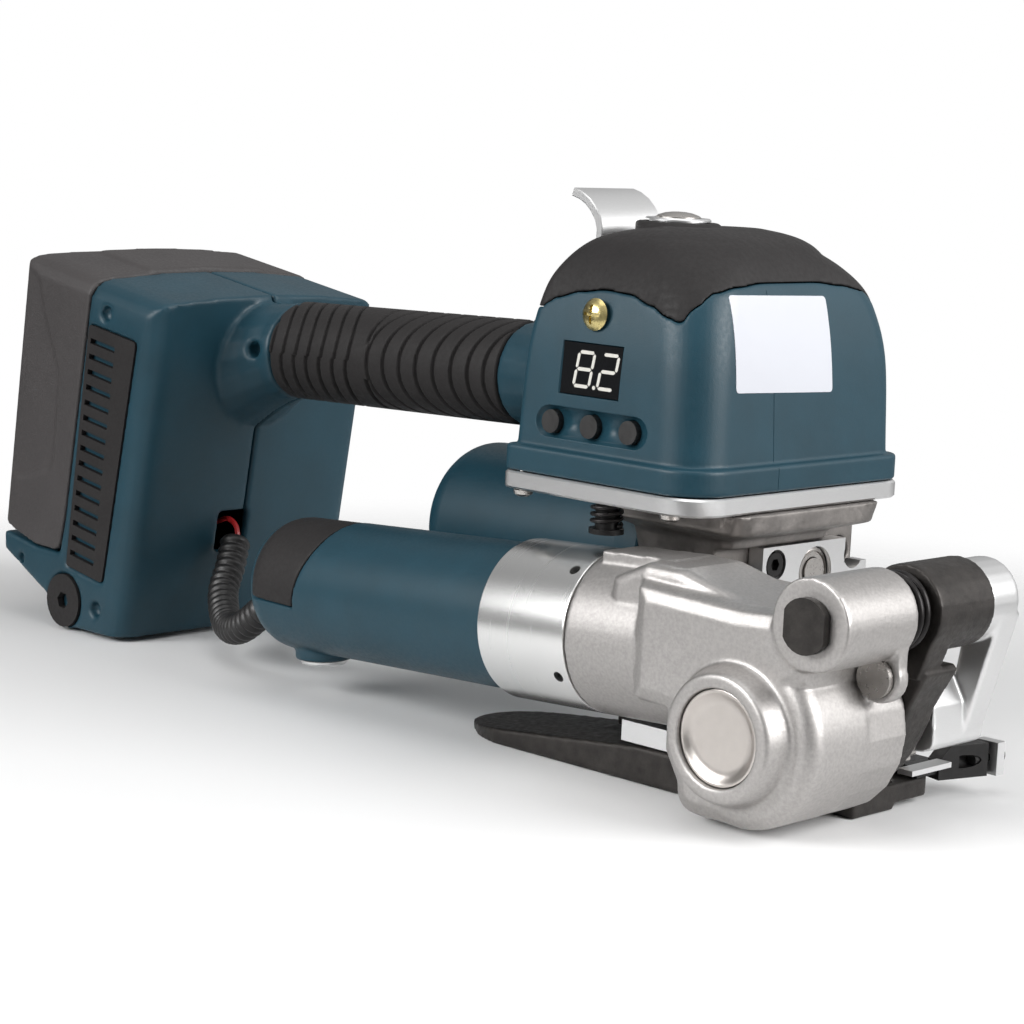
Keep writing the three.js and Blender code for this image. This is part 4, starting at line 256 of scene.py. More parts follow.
def crease_nodes(limit):
    """Merges coincident vertices and shades smooth except where faces meet at more than the limit."""
    group = bpy.data.node_groups.new("creases", "GeometryNodeTree")
    group.interface.new_socket("Geometry", in_out="INPUT", socket_type="NodeSocketGeometry")
    group.interface.new_socket("Geometry", in_out="OUTPUT", socket_type="NodeSocketGeometry")
    start, end = group.nodes.new("NodeGroupInput"), group.nodes.new("NodeGroupOutput")
    merge = group.nodes.new("GeometryNodeMergeByDistance")
    merge.inputs["Distance"].default_value = 2e-6
    angle = group.nodes.new("GeometryNodeInputMeshEdgeAngle")
    soft = group.nodes.new("FunctionNodeCompare")
    soft.operation = "LESS_THAN"
    soft.inputs["B"].default_value = limit * DEG
    faces = group.nodes.new("GeometryNodeSetShadeSmooth")
    edges = group.nodes.new("GeometryNodeSetShadeSmooth")
    edges.domain = "EDGE"
    link = group.links.new
    link(start.outputs[0], merge.inputs["Geometry"])
    link(merge.outputs["Geometry"], faces.inputs["Geometry"])
    link(faces.outputs["Geometry"], edges.inputs["Geometry"])
    link(angle.outputs["Unsigned Angle"], soft.inputs["A"])
    link(soft.outputs["Result"], edges.inputs["Shade Smooth"])
    link(edges.outputs["Geometry"], end.inputs[0])
    return group


CREASES = crease_nodes(38)


def shade(obj):
    obj.data.shade_smooth()
    obj.modifiers.new("creases", "NODES").node_group = CREASES
    weight = obj.modifiers.new("weight", "WEIGHTED_NORMAL")
    weight.keep_sharp = True


def round_over(obj, voxel, passes):
    """Even fine mesh with every edge rounded a little, as on a casting or a moulding; sizes in millimetres."""
    remesh = obj.modifiers.new("remesh", "REMESH")
    remesh.mode = "VOXEL"
    remesh.voxel_size = voxel * MM
    remesh.use_smooth_shade = True
    soften = obj.modifiers.new("soften", "SMOOTH")
    soften.factor = 0.5
    soften.iterations = passes


# Voxel and smoothing passes of the pieces whose edges are rounded over
ROUNDED = {
    "main_frame": (0.6, 6), "weld_arm": (0.5, 5), "pivot_bracket": (0.5, 5), "base_plate": (0.6, 4),
    "housing_left": (0.8, 8), "housing_right": (0.8, 8), "weld_jaw": (0.6, 3),
}


def dress_nodes():
    for name, obj in NODES.items():
        obj.data.materials.clear()
        obj.data.materials.append(finishes[SLOT_OF[name]].material)
        if name in ROUNDED:
            round_over(obj, *ROUNDED[name])
        else:
            shade(obj)


dress_nodes()


def add_object(name, mesh, body, slot, replaced=()):
    obj = bpy.data.objects.new(name, mesh)
    bpy.context.scene.collection.objects.link(obj)
    if body:
        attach(obj, body)
    mesh.materials.clear()
    mesh.materials.append(finishes[slot].material)
    if replaced:
        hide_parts(*replaced)
    return obj


def tube_mesh(name, path, radius_at, sides, bore=None):
    """Tube along points in metres, closed at its ends, or hollow where a bore is given."""
    tangents = [(path[min(i + 1, len(path) - 1)] - path[max(i - 1, 0)]).normalized() for i in range(len(path))]
    side = tangents[0].orthogonal().normalized()
    rings = []
    for i, (p, t) in enumerate(zip(path, tangents)):
        side = (side - t * side.dot(t)).normalized()
        other = t.cross(side)
        rings.append((p, side.copy(), other))
    def ring(i, radius):
        p, a, b = rings[i]
        return [p + (a * math.cos(k / sides * math.tau) + b * math.sin(k / sides * math.tau)) * radius for k in range(sides)]
    levels = [ring(i, radius_at(i)) for i in range(len(path))]
    if bore:
        levels += [ring(i, bore) for i in reversed(range(len(path)))]
    verts = [v for level in levels for v in level]
    faces = []
    count = len(levels)
    for i in range(count if bore else count - 1):
        low, high = i * sides, (i + 1) % count * sides
        for k in range(sides):
            j = (k + 1) % sides
            faces.append((low + k, low + j, high + j, high + k))
    if not bore:
        faces.append(tuple(reversed(range(sides))))
        faces.append(tuple(range((count - 1) * sides, count * sides)))
    mesh = bpy.data.meshes.new(name)
    mesh.from_pydata([v[:] for v in verts], [], faces)
    bm = bmesh.new()
    bm.from_mesh(mesh)
    bmesh.ops.recalc_face_normals(bm, faces=bm.faces)
    bm.to_mesh(mesh)
    bm.free()
    mesh.shade_smooth()
    return mesh


def add_lead():
    per_rib = 8
    points, length = spline(LEAD_POINTS, LEAD_RIBS * per_rib)
    path = [p * MM for p in points]

    def radius(i):
        wave = (0.5 - 0.5 * math.cos(i / per_rib * math.tau)) ** 0.6
        return (LEAD_RADIUS - LEAD_RIB_DEPTH * (1 - wave)) * MM

    mesh = tube_mesh("lead_sheath", path, radius, 24, LEAD_BORE * MM)
    lead = add_object("lead_sheath", mesh, "", "black_plastic", ["lead_wrap"])
    tuple(path[0])
    tuple(path[-1])
    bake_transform(lead)
    tuple(path[0])
    [tuple(p) for p in path[::4]]


add_lead()


def solid_mesh(name, verts, faces):
    """Mesh in metres from millimetre points, faces turned outwards."""
    mesh = bpy.data.meshes.new(name)
    mesh.from_pydata([(x * MM, y * MM, z * MM) for x, y, z in verts], [], faces)
    bm = bmesh.new()
    bm.from_mesh(mesh)
    bmesh.ops.recalc_face_normals(bm, faces=bm.faces)
    bm.to_mesh(mesh)
    bm.free()
    return mesh


def loft(name, rings):
    count = len(rings[0])
    faces = [
        (i * count + k, i * count + (k + 1) % count, (i + 1) * count + (k + 1) % count, (i + 1) * count + k)
        for i in range(len(rings) - 1) for k in range(count)
    ]
    faces += [tuple(range(count)), tuple(range((len(rings) - 1) * count, len(rings) * count))]
    return solid_mesh(name, [p for ring in rings for p in ring], faces)


def lathe(name, profile, axis, centre, frame_at=None, sides=112):
    """Turned solid from (radius, station) pairs; a profile that leaves the axis closes on itself."""
    verts, faces = [], []
    for radius, station in profile:
        for k in range(sides):
            a, b = radius * math.cos(k / sides * math.tau), radius * math.sin(k / sides * math.tau)
            verts.append({
                "x": (station, centre[0] + a, centre[1] + b), "y": (centre[0] + a, station, centre[1] + b),
                "z": (centre[0] + a, centre[1] + b, station),
            }[axis])
    open_ends = profile[0][0] > 0 and profile[0] != profile[-1]
    count = len(profile)
    for i in range(count if open_ends else count - 1):
        low, high = i * sides, (i + 1) % count * sides
        for k in range(sides):
            j = (k + 1) % sides
            faces.append((low + k, low + j, high + j, high + k))
    mesh = solid_mesh(name, verts, faces)
    bm = bmesh.new()
    bm.from_mesh(mesh)
    bmesh.ops.remove_doubles(bm, verts=bm.verts, dist=1e-7)
    bmesh.ops.dissolve_degenerate(bm, edges=bm.edges, dist=1e-8)
    bmesh.ops.recalc_face_normals(bm, faces=bm.faces)
    bm.to_mesh(mesh)
    bm.free()
    if frame_at:
        mesh.transform(frame_at)
    return mesh


def prism(name, outline, axis, low, high, frame_at=None):
    """Straight solid over a plane outline; the outline's pairs are the two other coordinates in order."""
    place = {"x": lambda a, b, h: (h, a, b), "y": lambda a, b, h: (a, h, b), "z": lambda a, b, h: (a, b, h)}[axis]
    mesh = loft(name, [[place(a, b, h) for a, b in outline] for h in (low, high)])
    if frame_at:
        mesh.transform(frame_at)
    return mesh


def circle(radius, centre=(0, 0), sides=48):
    steps = [i / sides * math.tau for i in range(sides)]
    return [(centre[0] + radius * math.cos(s), centre[1] + radius * math.sin(s)) for s in steps]


def joined(name, meshes):
    bm = bmesh.new()
    for mesh in meshes:
        bm.from_mesh(mesh)
    made = bpy.data.meshes.new(name)
    bm.to_mesh(made)
    bm.free()
    return made


def worked(name, mesh, cutters=(), keep=None, voxel=None, passes=0):
    """The mesh evened out and softened, then with other meshes cut away or only the shared part kept."""
    obj = bpy.data.objects.new(name, mesh)
    bpy.context.scene.collection.objects.link(obj)
    helpers = []

    def combine(other, operation):
        tool = bpy.data.objects.new(name + "_tool", other)
        bpy.context.scene.collection.objects.link(tool)
        helpers.append(tool)
        step = obj.modifiers.new("combine", "BOOLEAN")
        step.object, step.operation, step.solver = tool, operation, "EXACT"
        step.use_self = False

    if voxel:
        round_over(obj, voxel, passes)
    if keep:
        combine(keep, "INTERSECT")
    for other in cutters:
        combine(other, "DIFFERENCE")
    bpy.context.view_layer.update()
    made = bpy.data.meshes.new_from_object(obj.evaluated_get(bpy.context.evaluated_depsgraph_get()))
    made.name = name
    for used in (obj, *helpers):
        bpy.data.objects.remove(used)
    made.shade_smooth()
    return made


turned_metal = Finish("turned_metal", srgb(232, 232, 231), 0.27, 1.0).vary(600, 0.99, 1.0, stretch=(1, 0.02, 0.02))
turned_metal.gloss(900, 0.265, 0.275, stretch=(1, 0.02, 0.02))
satin_metal = Finish("satin_metal", srgb(196, 190, 185), 0.3, 1.0).vary(300, 0.97, 1.02)
satin_metal.gloss(500, 0.28, 0.34).relief(900, 0.0000005, 0.3)
label_white = Finish("label_white", srgb(214, 216, 223), 0.42).vary(60, 0.98, 1.0).gloss(200, 0.38, 0.46)
digit_grey = Finish("digit_grey", srgb(214, 212, 204), 0.5).vary(300, 0.96, 1.02).gloss(300, 0.45, 0.55)


def piece(name, mesh, nodes, slot=None, body=None):
    """Visible piece that stands for the named nodes and moves with them."""
    nodes = [nodes] if isinstance(nodes, str) else list(nodes)
    return add_object(name, mesh, body or BODY_OF[nodes[0]], slot or SLOT_OF[nodes[0]], nodes)


def motor_frame(back, side, height, tilt):
    return Matrix.Translation(Vector((-back, side, height)) * MM) @ Matrix.Rotation(-tilt, 4, "Y")


TENSION = motor_frame(59.7, -38, 38.9, TILT)
WELD = motor_frame(41.25, 21.4, 52.5, 1.8 * DEG)

# Head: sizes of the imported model, in millimetres
HEAD_MID = (-66.55, 1.5)
HEAD_HALF = (35.05, 45)
HEAD_CORNERS = (6.5, 3, 3, 13)
FLANGE = (78.4, 85.6)
DOME_BASE, DOME_TOP = 85.3, 146.4
LEANS = {"front": 4, "rear": 1.5, "left": 0.5, "right": 4}
DOME_ROUND, REAR_ROUND = 24, 19
CORNER_SPREAD = (2.2, 0.5, 0.5, 0.5)
DOME_SHARES = [
    (0, 0), (0.45, 0.005), (0.62, 0.046), (0.743, 0.108), (0.844, 0.229), (0.918, 0.38), (0.956, 0.533),
    (0.98, 0.72), (1, 1),
]
CAP_LINE = [
    (0, 13.1), (24, 13.1), (41, 14.1), (50, 15.6), (57, 19.6), (61, 23.6), (66, 22.4), (74, 19.9), (86, 17.5),
    (100, 17), (113, 18.1), (121, 20), (127, 23.2), (132, 23.2), (140, 19.6), (155, 15.6), (180, 14.6),
]
CAP_GAP = 0.22
SEAM_SIDE = -9.6                     # mould line on the front face


def fall_share(share, table=[]):
    """How far the dome has closed at a share of its height, on a smooth curve through the measured shares."""
    if not table:
        curve, _ = spline([(s, f, 0) for s, f in DOME_SHARES], 160)
        table.extend((p.x, p.y) for p in curve)
    for (s0, f0), (s1, f1) in zip(table, table[1:]):
        if s1 >= share:
            return f0 + (f1 - f0) * (share - s0) / max(s1 - s0, 1e-9)
    return 1.0


def rounded_ring(half_a, half_b, radii, per_corner=14, per_side=16):
    ring = []
    signs = [(1, 1), (-1, 1), (-1, -1), (1, -1)]
    for quarter, (sa, sb) in enumerate(signs):
        r = min(radii[quarter], half_a, half_b)
        for i in range(per_corner + 1):
            angle = (quarter + i / per_corner) * math.pi / 2
            ring.append((sa * (half_a - r) + r * math.cos(angle), sb * (half_b - r) + r * math.sin(angle)))
        na, nb = signs[(quarter + 1) % 4]
        rn = min(radii[(quarter + 1) % 4], half_a, half_b)
        angle = (quarter + 1) * math.pi / 2
        end = (na * (half_a - rn) + rn * math.cos(angle), nb * (half_b - rn) + rn * math.sin(angle))
        last = ring[-1]
        for i in range(1, per_side):
            s = i / per_side
            ring.append((last[0] + (end[0] - last[0]) * s, last[1] + (end[1] - last[1]) * s))
    return ring


def dome_ring(level, inset=0.0):
    rise = level - DOME_BASE
    f = fall_share(min(max(rise / (DOME_TOP - DOME_BASE - inset), 0), 1))
    lean = {side: rise * math.tan(angle * DEG) for side, angle in LEANS.items()}
    front = HEAD_HALF[0] - DOME_ROUND * f - 2 - inset - lean["front"]
    rear = HEAD_HALF[0] - REAR_ROUND * f - 2 - inset - lean["rear"]
    left = HEAD_HALF[1] - DOME_ROUND * f - 2 - inset - lean["left"]
    right = HEAD_HALF[1] - DOME_ROUND * f - 2 - inset - lean["right"]
    radii = [r - inset / 2 + DOME_ROUND * f * s for r, s in zip(HEAD_CORNERS, CORNER_SPREAD)]
    middle = (HEAD_MID[0] + (front - rear) / 2, HEAD_MID[1] + (left - right) / 2)
    ring = rounded_ring((front + rear) / 2, (left + right) / 2, radii)
    return [(middle[0] + a, middle[1] + b, level) for a, b in ring]


def cap_level(x, y):
    turn = abs(math.degrees(math.atan2(y - HEAD_MID[1], x - HEAD_MID[0])))
    for (a0, z0), (a1, z1) in zip(CAP_LINE, CAP_LINE[1:]):
        if a1 >= turn:
            s = (turn - a0) / (a1 - a0)
            return DOME_TOP - (z0 + (z1 - z0) * s * s * (3 - 2 * s))
    return DOME_TOP - CAP_LINE[-1][1]


def cap_edge(shift, inset=0.0):
    """The cap's lower edge on the dome, one point per column of the dome's rings."""
    edge = []
    for k in range(len(dome_ring(DOME_BASE))):
        level = DOME_TOP - 17
        for _ in range(5):
            x, y, _z = dome_ring(level)[k]
            level = cap_level(x, y) + shift
        x, y, z = dome_ring(level, inset)[k]
        edge.append((x, y, z))
    return edge


def display_frame(drop=0.0):
    """Plane of the display: x along the head, -y out of its right face, z up."""
    level = 108 - drop
    at = Vector((-73.5, HEAD_MID[1] - HEAD_HALF[1] + 2 + (level - FLANGE[1]) * math.tan(4 * DEG), level)) * MM
    return Matrix.Translation(at) @ Matrix.Rotation(-4 * DEG, 4, "X")


def front_point(y, z, proud):
    """Point of the dome's front face at a side position and height, lifted off it a little."""
    ring = dome_ring(z)
    found = None
    for a, b in zip(ring, ring[1:] + ring[:1]):
        if min(a[1], b[1]) <= y <= max(a[1], b[1]) and max(a[0], b[0]) > HEAD_MID[0] and a[1] != b[1]:
            x = a[0] + (b[0] - a[0]) * (y - a[1]) / (b[1] - a[1])
            found = x if found is None else max(found, x)
    return Vector((found + proud, y, z))


def pill(half_length, half_height, shift=0.0, steps=16):
    ends = []
    for i in range(steps + 1):
        a = -math.pi / 2 + math.pi * i / steps
        ends.append((shift + half_length - half_height + half_height * math.cos(a), half_height * math.sin(a)))
    for i in range(steps + 1):
        a = math.pi / 2 + math.pi * i / steps
        ends.append((shift - half_length + half_height + half_height * math.cos(a), half_height * math.sin(a)))
    return ends


def box_outline(a0, a1, b0, b1):
    return [(a0, b0), (a1, b0), (a1, b1), (a0, b1)]


def add_head():
    edge = cap_edge(-CAP_GAP / 2)
    rings = [[(x, y, DOME_BASE - 3) for x, y, _z in dome_ring(DOME_BASE)]]
    rows = 44
    for j in range(rows + 1):
        ring = []
        for k, (_x, _y, top) in enumerate(edge):
            level = DOME_BASE + (top - DOME_BASE) * j / rows
            ring.append((level, k))
        rings.append([column_point(level, k) for level, k in ring])
    inner = cap_edge(-CAP_GAP / 2 - 0.2, 2.4)
    rings.append(inner)
    rings.append([(x, y, z - 4) for x, y, z in inner])
    wall = loft("wall", rings)
    plan = [(HEAD_MID[0] + a, HEAD_MID[1] + b) for a, b in rounded_ring(*HEAD_HALF, HEAD_CORNERS)]

    def plan_ring(inset, level):
        ring = rounded_ring(HEAD_HALF[0] - inset, HEAD_HALF[1] - inset, [max(r - inset, 1) for r in HEAD_CORNERS])
        return [(HEAD_MID[0] + a, HEAD_MID[1] + b, level) for a, b in ring]

    flange = loft("flange", [
        plan_ring(0.5, FLANGE[0]), plan_ring(0, FLANGE[0] + 0.5), plan_ring(0, FLANGE[1] - 0.8),
        plan_ring(0.25, FLANGE[1] - 0.25), plan_ring(0.8, FLANGE[1]),
    ])
    cuts = [
        prism("window", box_outline(-11, 11, -7.25, 7.25), "y", -3, 1.9, display_frame()),
        prism("panel", pill(20.2, 4.3, 2), "y", -3, 0.8, display_frame(15)),
    ]
    for i in (-1, 0, 1):
        cuts.append(prism("key", circle(3.55, (2 + i * 14.1, 0)), "y", -3, 6, display_frame(15)))
    side = [(front_point(SEAM_SIDE, z, -0.28).x, z) for z in (86.4, 95, 105, 115, 122, 128, 131.5)]
    seam = [(HEAD_MID[0] + HEAD_HALF[0] - 0.28, 78), (HEAD_MID[0] + HEAD_HALF[0] - 0.28, 85.2), *side, (-28, 131.5), (-28, 78)]
    cuts.append(prism("seam", seam, "y", SEAM_SIDE - 0.13, SEAM_SIDE + 0.13))
    shell = worked("head_shell_form", joined("shell", [wall, flange]), cuts, voxel=0.42, passes=5)
    piece("head_shell_skin", shell, "head_shell")

    low = cap_edge(CAP_GAP / 2)
    inner = cap_edge(CAP_GAP / 2 + 0.2, 2.4)
    rings = [[(x, y, z + 4) for x, y, z in inner], inner]
    rows = 40
    for j in range(rows + 1):
        rings.append([
            column_point(z + (DOME_TOP - z) * math.sin(j / rows * math.pi / 2), k) for k, (x, y, z) in enumerate(low)
        ])
    button = (-79.3, -0.75)
    collar = lathe("collar", [(0, 134), (11.8, 134), (11.8, 146.9), (11.3, 147.4), (0, 147.4)], "z", button)
    bore = prism("bore", circle(8.3, button), "z", 120, 150)
    cap = worked("head_cap_form", joined("cap", [loft("cap_skin", rings), collar]), [bore], voxel=0.42, passes=5)
    piece("head_cap_skin", cap, "head_cap")


def column_point(level, k, cache={}):
    key = round(level, 3)
    if key not in cache:
        cache[key] = dome_ring(key)
    return cache[key][k]


add_head()


def add_casting():
    """The gear housing's casting, its round parts drawn true before all edges are softened."""
    wheel = (0, 25.5)
    nose = (1, 25.5)
    face = -61.5
    bounds = [v.co.y for v in NODES["gear_housing"].data.vertices]
    face = min(bounds) / MM + 6.75
    boss_face = face - 6.75
    rim = [(bossed, y) for bossed, y in (
        (12.5, boss_face), (15.3, boss_face), (16.1, boss_face + 0.35), (16.5, boss_face + 1.2), (17, boss_face + 3),
        (17.6, boss_face + 5), (18.7, face + 1.5), (16.5, face + 4.5), (12.5, face + 4.5), (12.5, boss_face),
    )]
    round_face = [(19.5 + 4.5 * math.sin(i / 8 * math.pi / 2), face + 4.5 - 4.5 * math.cos(i / 8 * math.pi / 2))
                  for i in range(9)]
    ring = [(17.8, face), *round_face, (24, face + 22), (21, face + 22), (17.8, face + 4.8), (17.8, face)]
    hub_face = face - 0.5
    hub = [(5.5, hub_face), (11.2, hub_face), (11.7, hub_face + 0.5), (11.7, hub_face + 27.7),
           (11.2, hub_face + 28.2), (5.5, hub_face + 28.2), (5.5, hub_face)]
    tube = [(17, 0.02), (21.8, 0.02), (22.3, 0.5), (22.3, 29.6), (20.07, 41), (17, 41), (17, 0.02)]
    parts = [
        NODES["gear_housing"].data.copy(),
        lathe("rim", rim, "y", wheel), lathe("nose", ring, "y", nose),
        lathe("hub", hub, "y", (22.1, 56.9)), lathe("tube", tube, "x", (0, 0), TENSION),
    ]
    form = worked("gear_form", joined("gear", parts), voxel=0.5, passes=9)
    piece("gear_housing_skin", form, "gear_housing")


add_casting()


def inlay_outline(grow):
    back, low = -32.3 - 103 + 4 - grow, -20.1 * 0.12 - grow
    front = back + 27 + 2 * grow
    points = [(back, 26), (back, low), (front - 8.1, low - 1.35)]
    a, b = Vector((front - 8.1, low - 1.35)), Vector((front - 6.5, 7.4))
    c, d = Vector((front - 2.7, 10.55)), Vector((front, 23.1))
    for i in range(1, 17):
        s = i / 16
        p = a * (1 - s) ** 3 + b * 3 * s * (1 - s) ** 2 + c * 3 * s * s * (1 - s) + d * s ** 3
        points.append((p.x, p.y))
    return points + [(front, 26)]


def cover_profile(radius, tail, front, length, crown, inset=0.0):
    end = front - length
    profile = [(0, end + inset)]
    for i in range(13):
        a = i / 12 * math.pi / 2
        profile.append((tail * 0.6 + tail * 0.4 * math.sin(a) - inset, end + crown * (1 - math.cos(a)) + inset))
    return profile + [(radius - 0.4 - inset, front - 0.02), (0, front)]


def add_motor_covers():
    outer = cover_profile(21.1, 20.1, -32.6, 103, 9)
    boss = lathe("boss", [(0, -22.1), (8.2, -22.1), (8.6, -21.7), (8.6, -10), (0, -10)], "z", (-120, 0), TENSION)
    core = lathe("core", [(0, -131), (18.6, -131), (18.6, -40), (0, -40)], "x", (0, 0), TENSION)
    gap = prism("gap", inlay_outline(0.3), "y", -26, 26, TENSION)
    skin = worked("cover_cut", lathe("cover", outer, "x", (0, 0), TENSION), [gap])
    cover = worked("cover_form", joined("cover_all", [skin, core, boss]), voxel=0.5, passes=4)
    piece("tension_cover_skin", cover, "tension_motor_cover")
    inset = lathe("inlay", cover_profile(21.1, 20.1, -32.6, 103, 9, 0.12), "x", (0, 0), TENSION)
    keep = prism("keep", inlay_outline(0), "y", -26, 26, TENSION)
    inlay = worked("inlay_form", worked("inlay_cut", inset, keep=keep), voxel=0.5, passes=3)
    piece("cover_inlay_skin", inlay, "cover_inlay")

    turned = [(18.2, -32.3)]
    turned += [(21.8, -32.3), (22.15, -32.15), (22.3, -31.8), (22.3, -0.8), (22.15, -0.45), (21.8, -0.3), (18.2, -0.3)]
    holes = []
    for angle in (52, -28):
        spin = TENSION @ Matrix.Rotation(-angle * DEG, 4, "X")
        holes.append(prism("hole", circle(1.6, (-4.04, 0), 32), "y", -25, -16, spin))
    ring = worked("ring_form", lathe("ring", turned + [turned[0]], "x", (0, 0), TENSION, 180), holes)
    skin = piece("tension_ring_skin", ring, "tension_ring")
    skin.data.materials[0] = turned_metal.material
    shade(skin)

    weld = [(0, -44.3 - 91)]
    for i in range(13):
        a = i / 12 * math.pi / 2
        weld.append((25.8 * (0.6 + 0.385 * math.sin(a)), -135.3 + 10 * (1 - math.cos(a))))
    weld += [(25.4, -53.3), (25.8, -52.7), (25.8, -44.8), (25.4, -44.3), (0, -44.3)]
    sky = prism("sky", box_outline(-102.5, -31, -43.5, 46.5), "z", 72.9, 79)
    cover = worked("weld_cover_form", lathe("weld_cover", weld, "x", (0, 0), WELD), [sky])
    shade(piece("weld_cover_skin", cover, "weld_motor_cover"))


add_motor_covers()


# Label's corners on the front face (side, height): upper right of the tool first, then clockwise as seen
LABEL = [(-25.2, 130.5), (14.8, 129.7), (15.4, 103.9), (-25.4, 105.2)]
LABEL_ROUND = 0.045


def add_label():
    cols, rows = 44, 28

    def place(s, t, proud):
        # Rounded corners: the ends of each row are drawn in near the top and bottom
        near = max(0.0, LABEL_ROUND - min(t, 1 - t)) / LABEL_ROUND
        cutback = 0.6 * LABEL_ROUND * (1 - math.sqrt(max(0.0, 1 - near * near)))
        s = cutback + (1 - 2 * cutback) * s
        top = Vector(LABEL[0]).lerp(Vector(LABEL[1]), s)
        low = Vector(LABEL[3]).lerp(Vector(LABEL[2]), s)
        y, z = top.lerp(low, t)
        return front_point(y, z, proud)

    ticks = [0, 0.006, 0.014, 0.024, 0.035, 0.045]
    ts = ticks + [0.045 + 0.91 * i / rows for i in range(1, rows)] + [1 - v for v in reversed(ticks)]
    verts, faces = [], []
    for proud in (0.16, -0.3):
        verts += [place(i / cols, t, proud)[:] for t in ts for i in range(cols + 1)]
    wide, layer = cols + 1, len(verts) // 2
    for j in range(len(ts) - 1):
        for i in range(cols):
            k = j * wide + i
            faces += [(k, k + 1, k + wide + 1, k + wide), tuple(layer + n for n in (k, k + wide, k + wide + 1, k + 1))]
    rim = [i for i in range(cols)] + [j * wide + cols for j in range(len(ts) - 1)]
    rim += [(len(ts) - 1) * wide + i for i in range(cols, 0, -1)] + [j * wide for j in range(len(ts) - 1, 0, -1)]
    for a, b in zip(rim, rim[1:] + rim[:1]):
        faces.append((a, b, layer + b, layer + a))
    mesh = solid_mesh("label", verts, faces)
    mesh.materials.append(label_white.material)
    obj = bpy.data.objects.new("label", mesh)
    bpy.context.scene.collection.objects.link(obj)
    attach(obj, "frame")


def add_digits():
    """Two seven-segment digits with a point, lying on the window."""
    high, wide, thick, slant = 9.2, 5.6, 0.95, math.tan(8 * DEG)
    half = high / 2
    bars = {
        "a": ((0, half), "h"), "g": ((0, 0), "h"), "d": ((0, -half), "h"), "f": ((-wide / 2, half / 2), "v"),
        "b": ((wide / 2, half / 2), "v"), "e": ((-wide / 2, -half / 2), "v"), "c": ((wide / 2, -half / 2), "v"),
    }
    spots = []
    for middle, lit in ((-2.6, "abcdefg"), (6.1, "abged")):
        for key in lit:
            (x, z), kind = bars[key]
            length = (wide if kind == "h" else half) / 2 - 0.22
            tip = thick / 2
            shape = [(-length, 0), (-length + tip, -tip), (length - tip, -tip), (length, 0), (length - tip, tip),
                     (-length + tip, tip)]
            if kind == "v":
                shape = [(b, a) for a, b in shape]
            spots.append([(middle + x + a + (z + b) * slant, z + b) for a, b in shape])
    spots.append([(1.45 + a, -half + b) for a, b in circle(0.55, sides=14)])
    meshes = [prism("bar", spot, "y", 0.33, 0.41, display_frame()) for spot in spots]
    mesh = joined("digits", meshes)
    mesh.materials.append(digit_grey.material)
    obj = bpy.data.objects.new("digits", mesh)
    bpy.context.scene.collection.objects.link(obj)
    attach(obj, "frame")


add_label()
add_digits()

# Grip: measures in millimetres along it from its rear end, at the side
GRIP_REAR_GROOVES = (1.0, 6.9, 12.9, 18.8, 24.9, 31.1, 37.3)
GRIP_ARC_GROOVES = (46.4, 53.6, 60.8, 68.0, 75.6, 83.2, 90.3, 97.0)
GRIP_SHORT_GROOVE = 45.2
GRIP_LENGTH, GRIP_RADIUS, GRIP_DEPTH = 102, 15.6, 1.35


def groove_depth(u, angle):
    """Depth of the wavy grooves at a place on the grip; the angle is 0 at the sides and 90 degrees on top."""
    around = abs(math.cos(angle))
    up = abs(math.sin(angle))
    wave = 0.85 * math.sin(3.2 * math.asin(min(up, 1)) + 0.4) * (1 if math.sin(angle) >= 0 else -1)
    depth = 0.0
    lines = [(g - 7.5 * (1 - around) ** 1.4 + wave, 1.0) for g in GRIP_REAR_GROOVES]
    lines += [(g + 10.5 * (1 - around) ** 1.15, 1.0) for g in GRIP_ARC_GROOVES]
    fade = min(max((up - 0.34) / 0.08, 0), 1)
    lines.append((GRIP_SHORT_GROOVE + 1.2 * (1 - around), fade))
    for at, strength in lines:
        off = abs(u - at)
        if off < 0.85:
            depth = max(depth, strength * math.sqrt(1 - (off / 0.85) ** 2))
    ends = min(u, GRIP_LENGTH - u)
    if ends < 0.8:
        depth = max(depth, 0.6 * (1 - ends / 0.8) ** 2)
    return depth * GRIP_DEPTH


def add_grip():
    rows, sides = 400, 288
    rings = []
    for i in range(rows + 1):
        u = GRIP_LENGTH * i / rows
        back = 235.5 - u
        level = 99.8 - (back - 133.5) * math.tan(1.5 * DEG)
        ring = []
        for k in range(sides):
            angle = k / sides * math.tau
            r = GRIP_RADIUS - groove_depth(u, angle)
            ring.append((-back, r * math.cos(angle), level + r * math.sin(angle)))
        rings.append(ring)
    caps = []
    for ring in (rings[0], rings[-1]):
        x = ring[0][0]
        middle = 99.8 - (-x - 133.5) * math.tan(1.5 * DEG)
        caps.append([(x, 13.2 * math.cos(k / sides * math.tau), middle + 13.2 * math.sin(k / sides * math.tau))
                     for k in range(sides)])
    mesh = loft("grip", [caps[0], *rings, caps[1]])
    mesh.shade_smooth()
    piece("handle_grip_skin", mesh, "handle_grip")


add_grip()

PACK = Matrix.Translation(Vector((-269.5, 0, 0)) * MM) @ Matrix.Rotation(9 * DEG, 4, "Y")


def rounded_outline(corners, radius, steps=6):
    """Outline with its corners rounded off by short curves."""
    out = []
    count = len(corners)
    for i, corner in enumerate(corners):
        c = Vector(corner)
        before, after = Vector(corners[i - 1]), Vector(corners[(i + 1) % count])
        a = c + (before - c).normalized() * min(radius, (before - c).length / 2.2)
        b = c + (after - c).normalized() * min(radius, (after - c).length / 2.2)
        for k in range(steps + 1):
            s = k / steps
            p = a * (1 - s) ** 2 + c * 2 * s * (1 - s) + b * s * s
            out.append((p.x, p.y))
    return out


